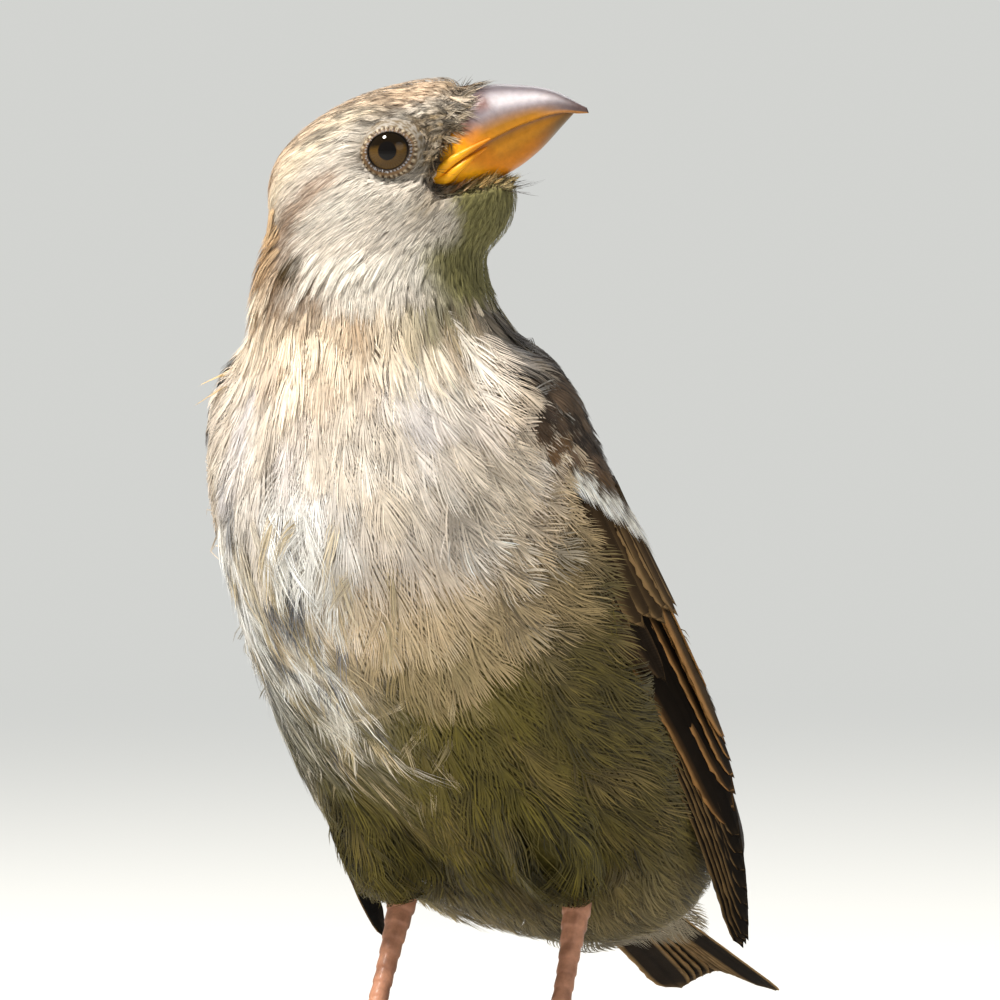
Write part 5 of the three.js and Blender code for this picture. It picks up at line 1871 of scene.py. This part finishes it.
def add_bristles():
    """Stiff dark hairs that reach over the bill's base and the corner of the mouth."""
    roots, normals = scatter(skin_mesh, even(0.8), bristle_keep, 1400, 131)
    draw = np.random.default_rng(131)
    n = len(roots)
    p = head_coordinates(roots)[1]
    droop = np.where(p > 1.0, 0.05, -0.5)[:, None] * HEAD_UP
    aim = unit(HEAD_FORWARD + droop + draw.normal(0, 0.22, (n, 3)))
    length = draw.uniform(1.5, 3.1, n) * np.where(p > 2.5, 0.55, 1.0)
    shaft = straight_shafts(roots - normals * 0.1, aim, normals, length, 0.32 * length, 5, HEAD_UP * 0.1)

    def tints(s, j, shade):
        return np.broadcast_to(BRISTLE, s.shape + (3,)) * shade.uniform(0.6, 2.2, (n, 1, 1, 1))

    shape = dict(HEAD_SHAPE, root=0.0, spread=0.02, stray=0.4, fill=0.13, taper=[1, 0.9, 0.6, 0])
    mesh = barb_feathers("bristles", shaft, np.full(n, 0.24), tints, unwrap(roots), 2, 5, shape, 132)
    add_piece("bristles", mesh, plume_material, "head_plumage")


add_bristles()


def add_loose_tuft():
    """A few breast-side feathers that stand out over the bend of the bird's right wing."""
    starts = np.array([[-11.4, -0.4, 73.0], [-12.4, -1.4, 71.6], [-12.9, 0.9, 71.0], [-12.0, 0.4, 72.2]])
    aims = unit(np.array([[-1, 0.0, -0.45], [-1, -0.25, -0.7], [-0.95, 0.25, -0.65], [-1, 0.1, -0.55]]))
    normals = np.tile(unit(np.array([-0.55, -0.3, 0.75])), (4, 1))
    normals = unit(normals - (normals * aims).sum(1)[:, None] * aims)
    lengths = np.array([7.4, 6.4, 6.0, 6.8])
    shaft = straight_shafts(starts, aims, normals, lengths, np.full(4, 0.5), 5, (0, 0, -0.06))
    tone = np.array([SIDE_TAN, SIDE_TAN * 0.8, BREAST, NAPE])

    def tints(s, j, shade):
        shown = mix(tone[:, None, None, :] * 0.5, tone[:, None, None, :], smooth(s, 0.1, 0.6))
        return shown * shade.normal(1, 0.15, (4, 14, 1, 1))

    shape = dict(BODY_SHAPE, pinch=0.6, clump=0.05, stray=0.06, ragged=0.08, fill=0.36)
    mesh = barb_feathers("shoulder_tuft", shaft, np.full(4, 1.5), tints, unwrap(starts), 14, 5, shape, 141)
    add_piece("shoulder_tuft", mesh, plume_material, "body_plumage")


add_loose_tuft()

# ---- camera, floor and light --------------------------------------------------------------
CAMERA_AZIMUTH = math.radians(22)
CAMERA_ELEVATION = math.radians(1.5)
CAMERA_DISTANCE = 1200.0
CAMERA_TARGET = np.array([8.95, 12.0, 58.5])
ROOM_TONE = np.array([0.90, 0.91, 0.88])
ROOM_SEEN = 0.72
ROOM_LIGHT = 0.42


def add_camera():
    data = bpy.data.cameras.new("camera")
    data.lens = 432.0
    data.sensor_width = 36.0
    data.clip_start = 0.05
    data.clip_end = 50.0
    camera = bpy.data.objects.new("camera", data)
    bpy.context.scene.collection.objects.link(camera)
    toward = Vector((math.sin(CAMERA_AZIMUTH) * math.cos(CAMERA_ELEVATION),
                     -math.cos(CAMERA_AZIMUTH) * math.cos(CAMERA_ELEVATION),
                     math.sin(CAMERA_ELEVATION)))
    camera.location = Vector(metres(CAMERA_TARGET)) + toward * (CAMERA_DISTANCE * MM)
    camera.rotation_euler = toward.to_track_quat("Z", "Y").to_euler()
    bpy.context.scene.camera = camera


def add_floor():
    mesh = bpy.data.meshes.new("floor")
    bm = bmesh.new()
    bmesh.ops.create_grid(bm, x_segments=2, y_segments=2, size=6.0)
    bm.to_mesh(mesh)
    bm.free()
    material = bpy.data.materials.new("pale_floor")
    material.use_nodes = True
    tree = material.node_tree
    shader = tree.nodes["Principled BSDF"]
    place = node(tree, "ShaderNodeTexCoord")
    reach = node(tree, "ShaderNodeVectorMath", operation="LENGTH")
    fade = node(tree, "ShaderNodeMapRange", interpolation_type="SMOOTHSTEP")
    fade.inputs["From Min"].default_value = 0.1
    fade.inputs["From Max"].default_value = 0.9
    lit = node(tree, "ShaderNodeMix", data_type="RGBA")
    lit.inputs["A"].default_value = (0.62, 0.62, 0.6, 1)
    lit.inputs["B"].default_value = (0, 0, 0, 1)
    glow = node(tree, "ShaderNodeMix", data_type="RGBA")
    glow.inputs["A"].default_value = (0, 0, 0, 1)
    glow.inputs["B"].default_value = tuple(ROOM_SEEN * ROOM_TONE) + (1,)
    link = tree.links.new
    link(place.outputs["Object"], reach.inputs[0])
    link(reach.outputs["Value"], fade.inputs["Value"])
    link(fade.outputs["Result"], lit.inputs["Factor"])
    link(fade.outputs["Result"], glow.inputs["Factor"])
    link(lit.outputs["Result"], shader.inputs["Base Color"])
    link(glow.outputs["Result"], shader.inputs["Emission Color"])
    shader.inputs["Emission Strength"].default_value = 1.0
    shader.inputs["Roughness"].default_value = 0.9
    shader.inputs["Specular IOR Level"].default_value = 0.0
    mesh.materials.append(material)
    floor = bpy.data.objects.new("floor", mesh)
    bpy.context.scene.collection.objects.link(floor)


def add_light(name, azimuth, elevation, distance, size, power, tone):
    data = bpy.data.lights.new(name, "AREA")
    data.shape = "DISK"
    data.size = size
    data.energy = power
    data.color = tone
    light = bpy.data.objects.new(name, data)
    bpy.context.scene.collection.objects.link(light)
    azimuth, elevation = math.radians(azimuth), math.radians(elevation)
    toward = Vector((math.sin(azimuth) * math.cos(elevation),
                     -math.cos(azimuth) * math.cos(elevation), math.sin(elevation)))
    light.location = Vector(metres([0, 10, 60])) + toward * distance
    light.rotation_euler = toward.to_track_quat("Z", "Y").to_euler()


def add_lights():
    add_light("key", -24, 58, 1.0, 0.2, 19.0, (1.0, 0.97, 0.93))
    add_light("fill", 60, 20, 1.3, 0.8, 2.2, (0.92, 0.96, 1.0))
    add_light("back", 190, 35, 1.2, 0.6, 5.0, (1.0, 1.0, 1.0))
    world = bpy.data.worlds.new("pale_room")
    bpy.context.scene.world = world
    world.use_nodes = True
    tree = world.node_tree
    seen = tree.nodes["Background"]
    seen.inputs["Color"].default_value = tuple(ROOM_TONE) + (1,)
    seen.inputs["Strength"].default_value = ROOM_SEEN
    given = node(tree, "ShaderNodeBackground")
    given.inputs["Color"].default_value = tuple(ROOM_TONE) + (1,)
    given.inputs["Strength"].default_value = ROOM_LIGHT
    choose = node(tree, "ShaderNodeMixShader")
    tree.links.new(node(tree, "ShaderNodeLightPath").outputs["Is Camera Ray"], choose.inputs["Fac"])
    tree.links.new(given.outputs[0], choose.inputs[1])
    tree.links.new(seen.outputs[0], choose.inputs[2])
    tree.links.new(choose.outputs[0], tree.nodes["World Output"].inputs["Surface"])


bpy.context.scene.view_settings.view_transform = "Standard"
add_camera()
add_floor()
add_lights()
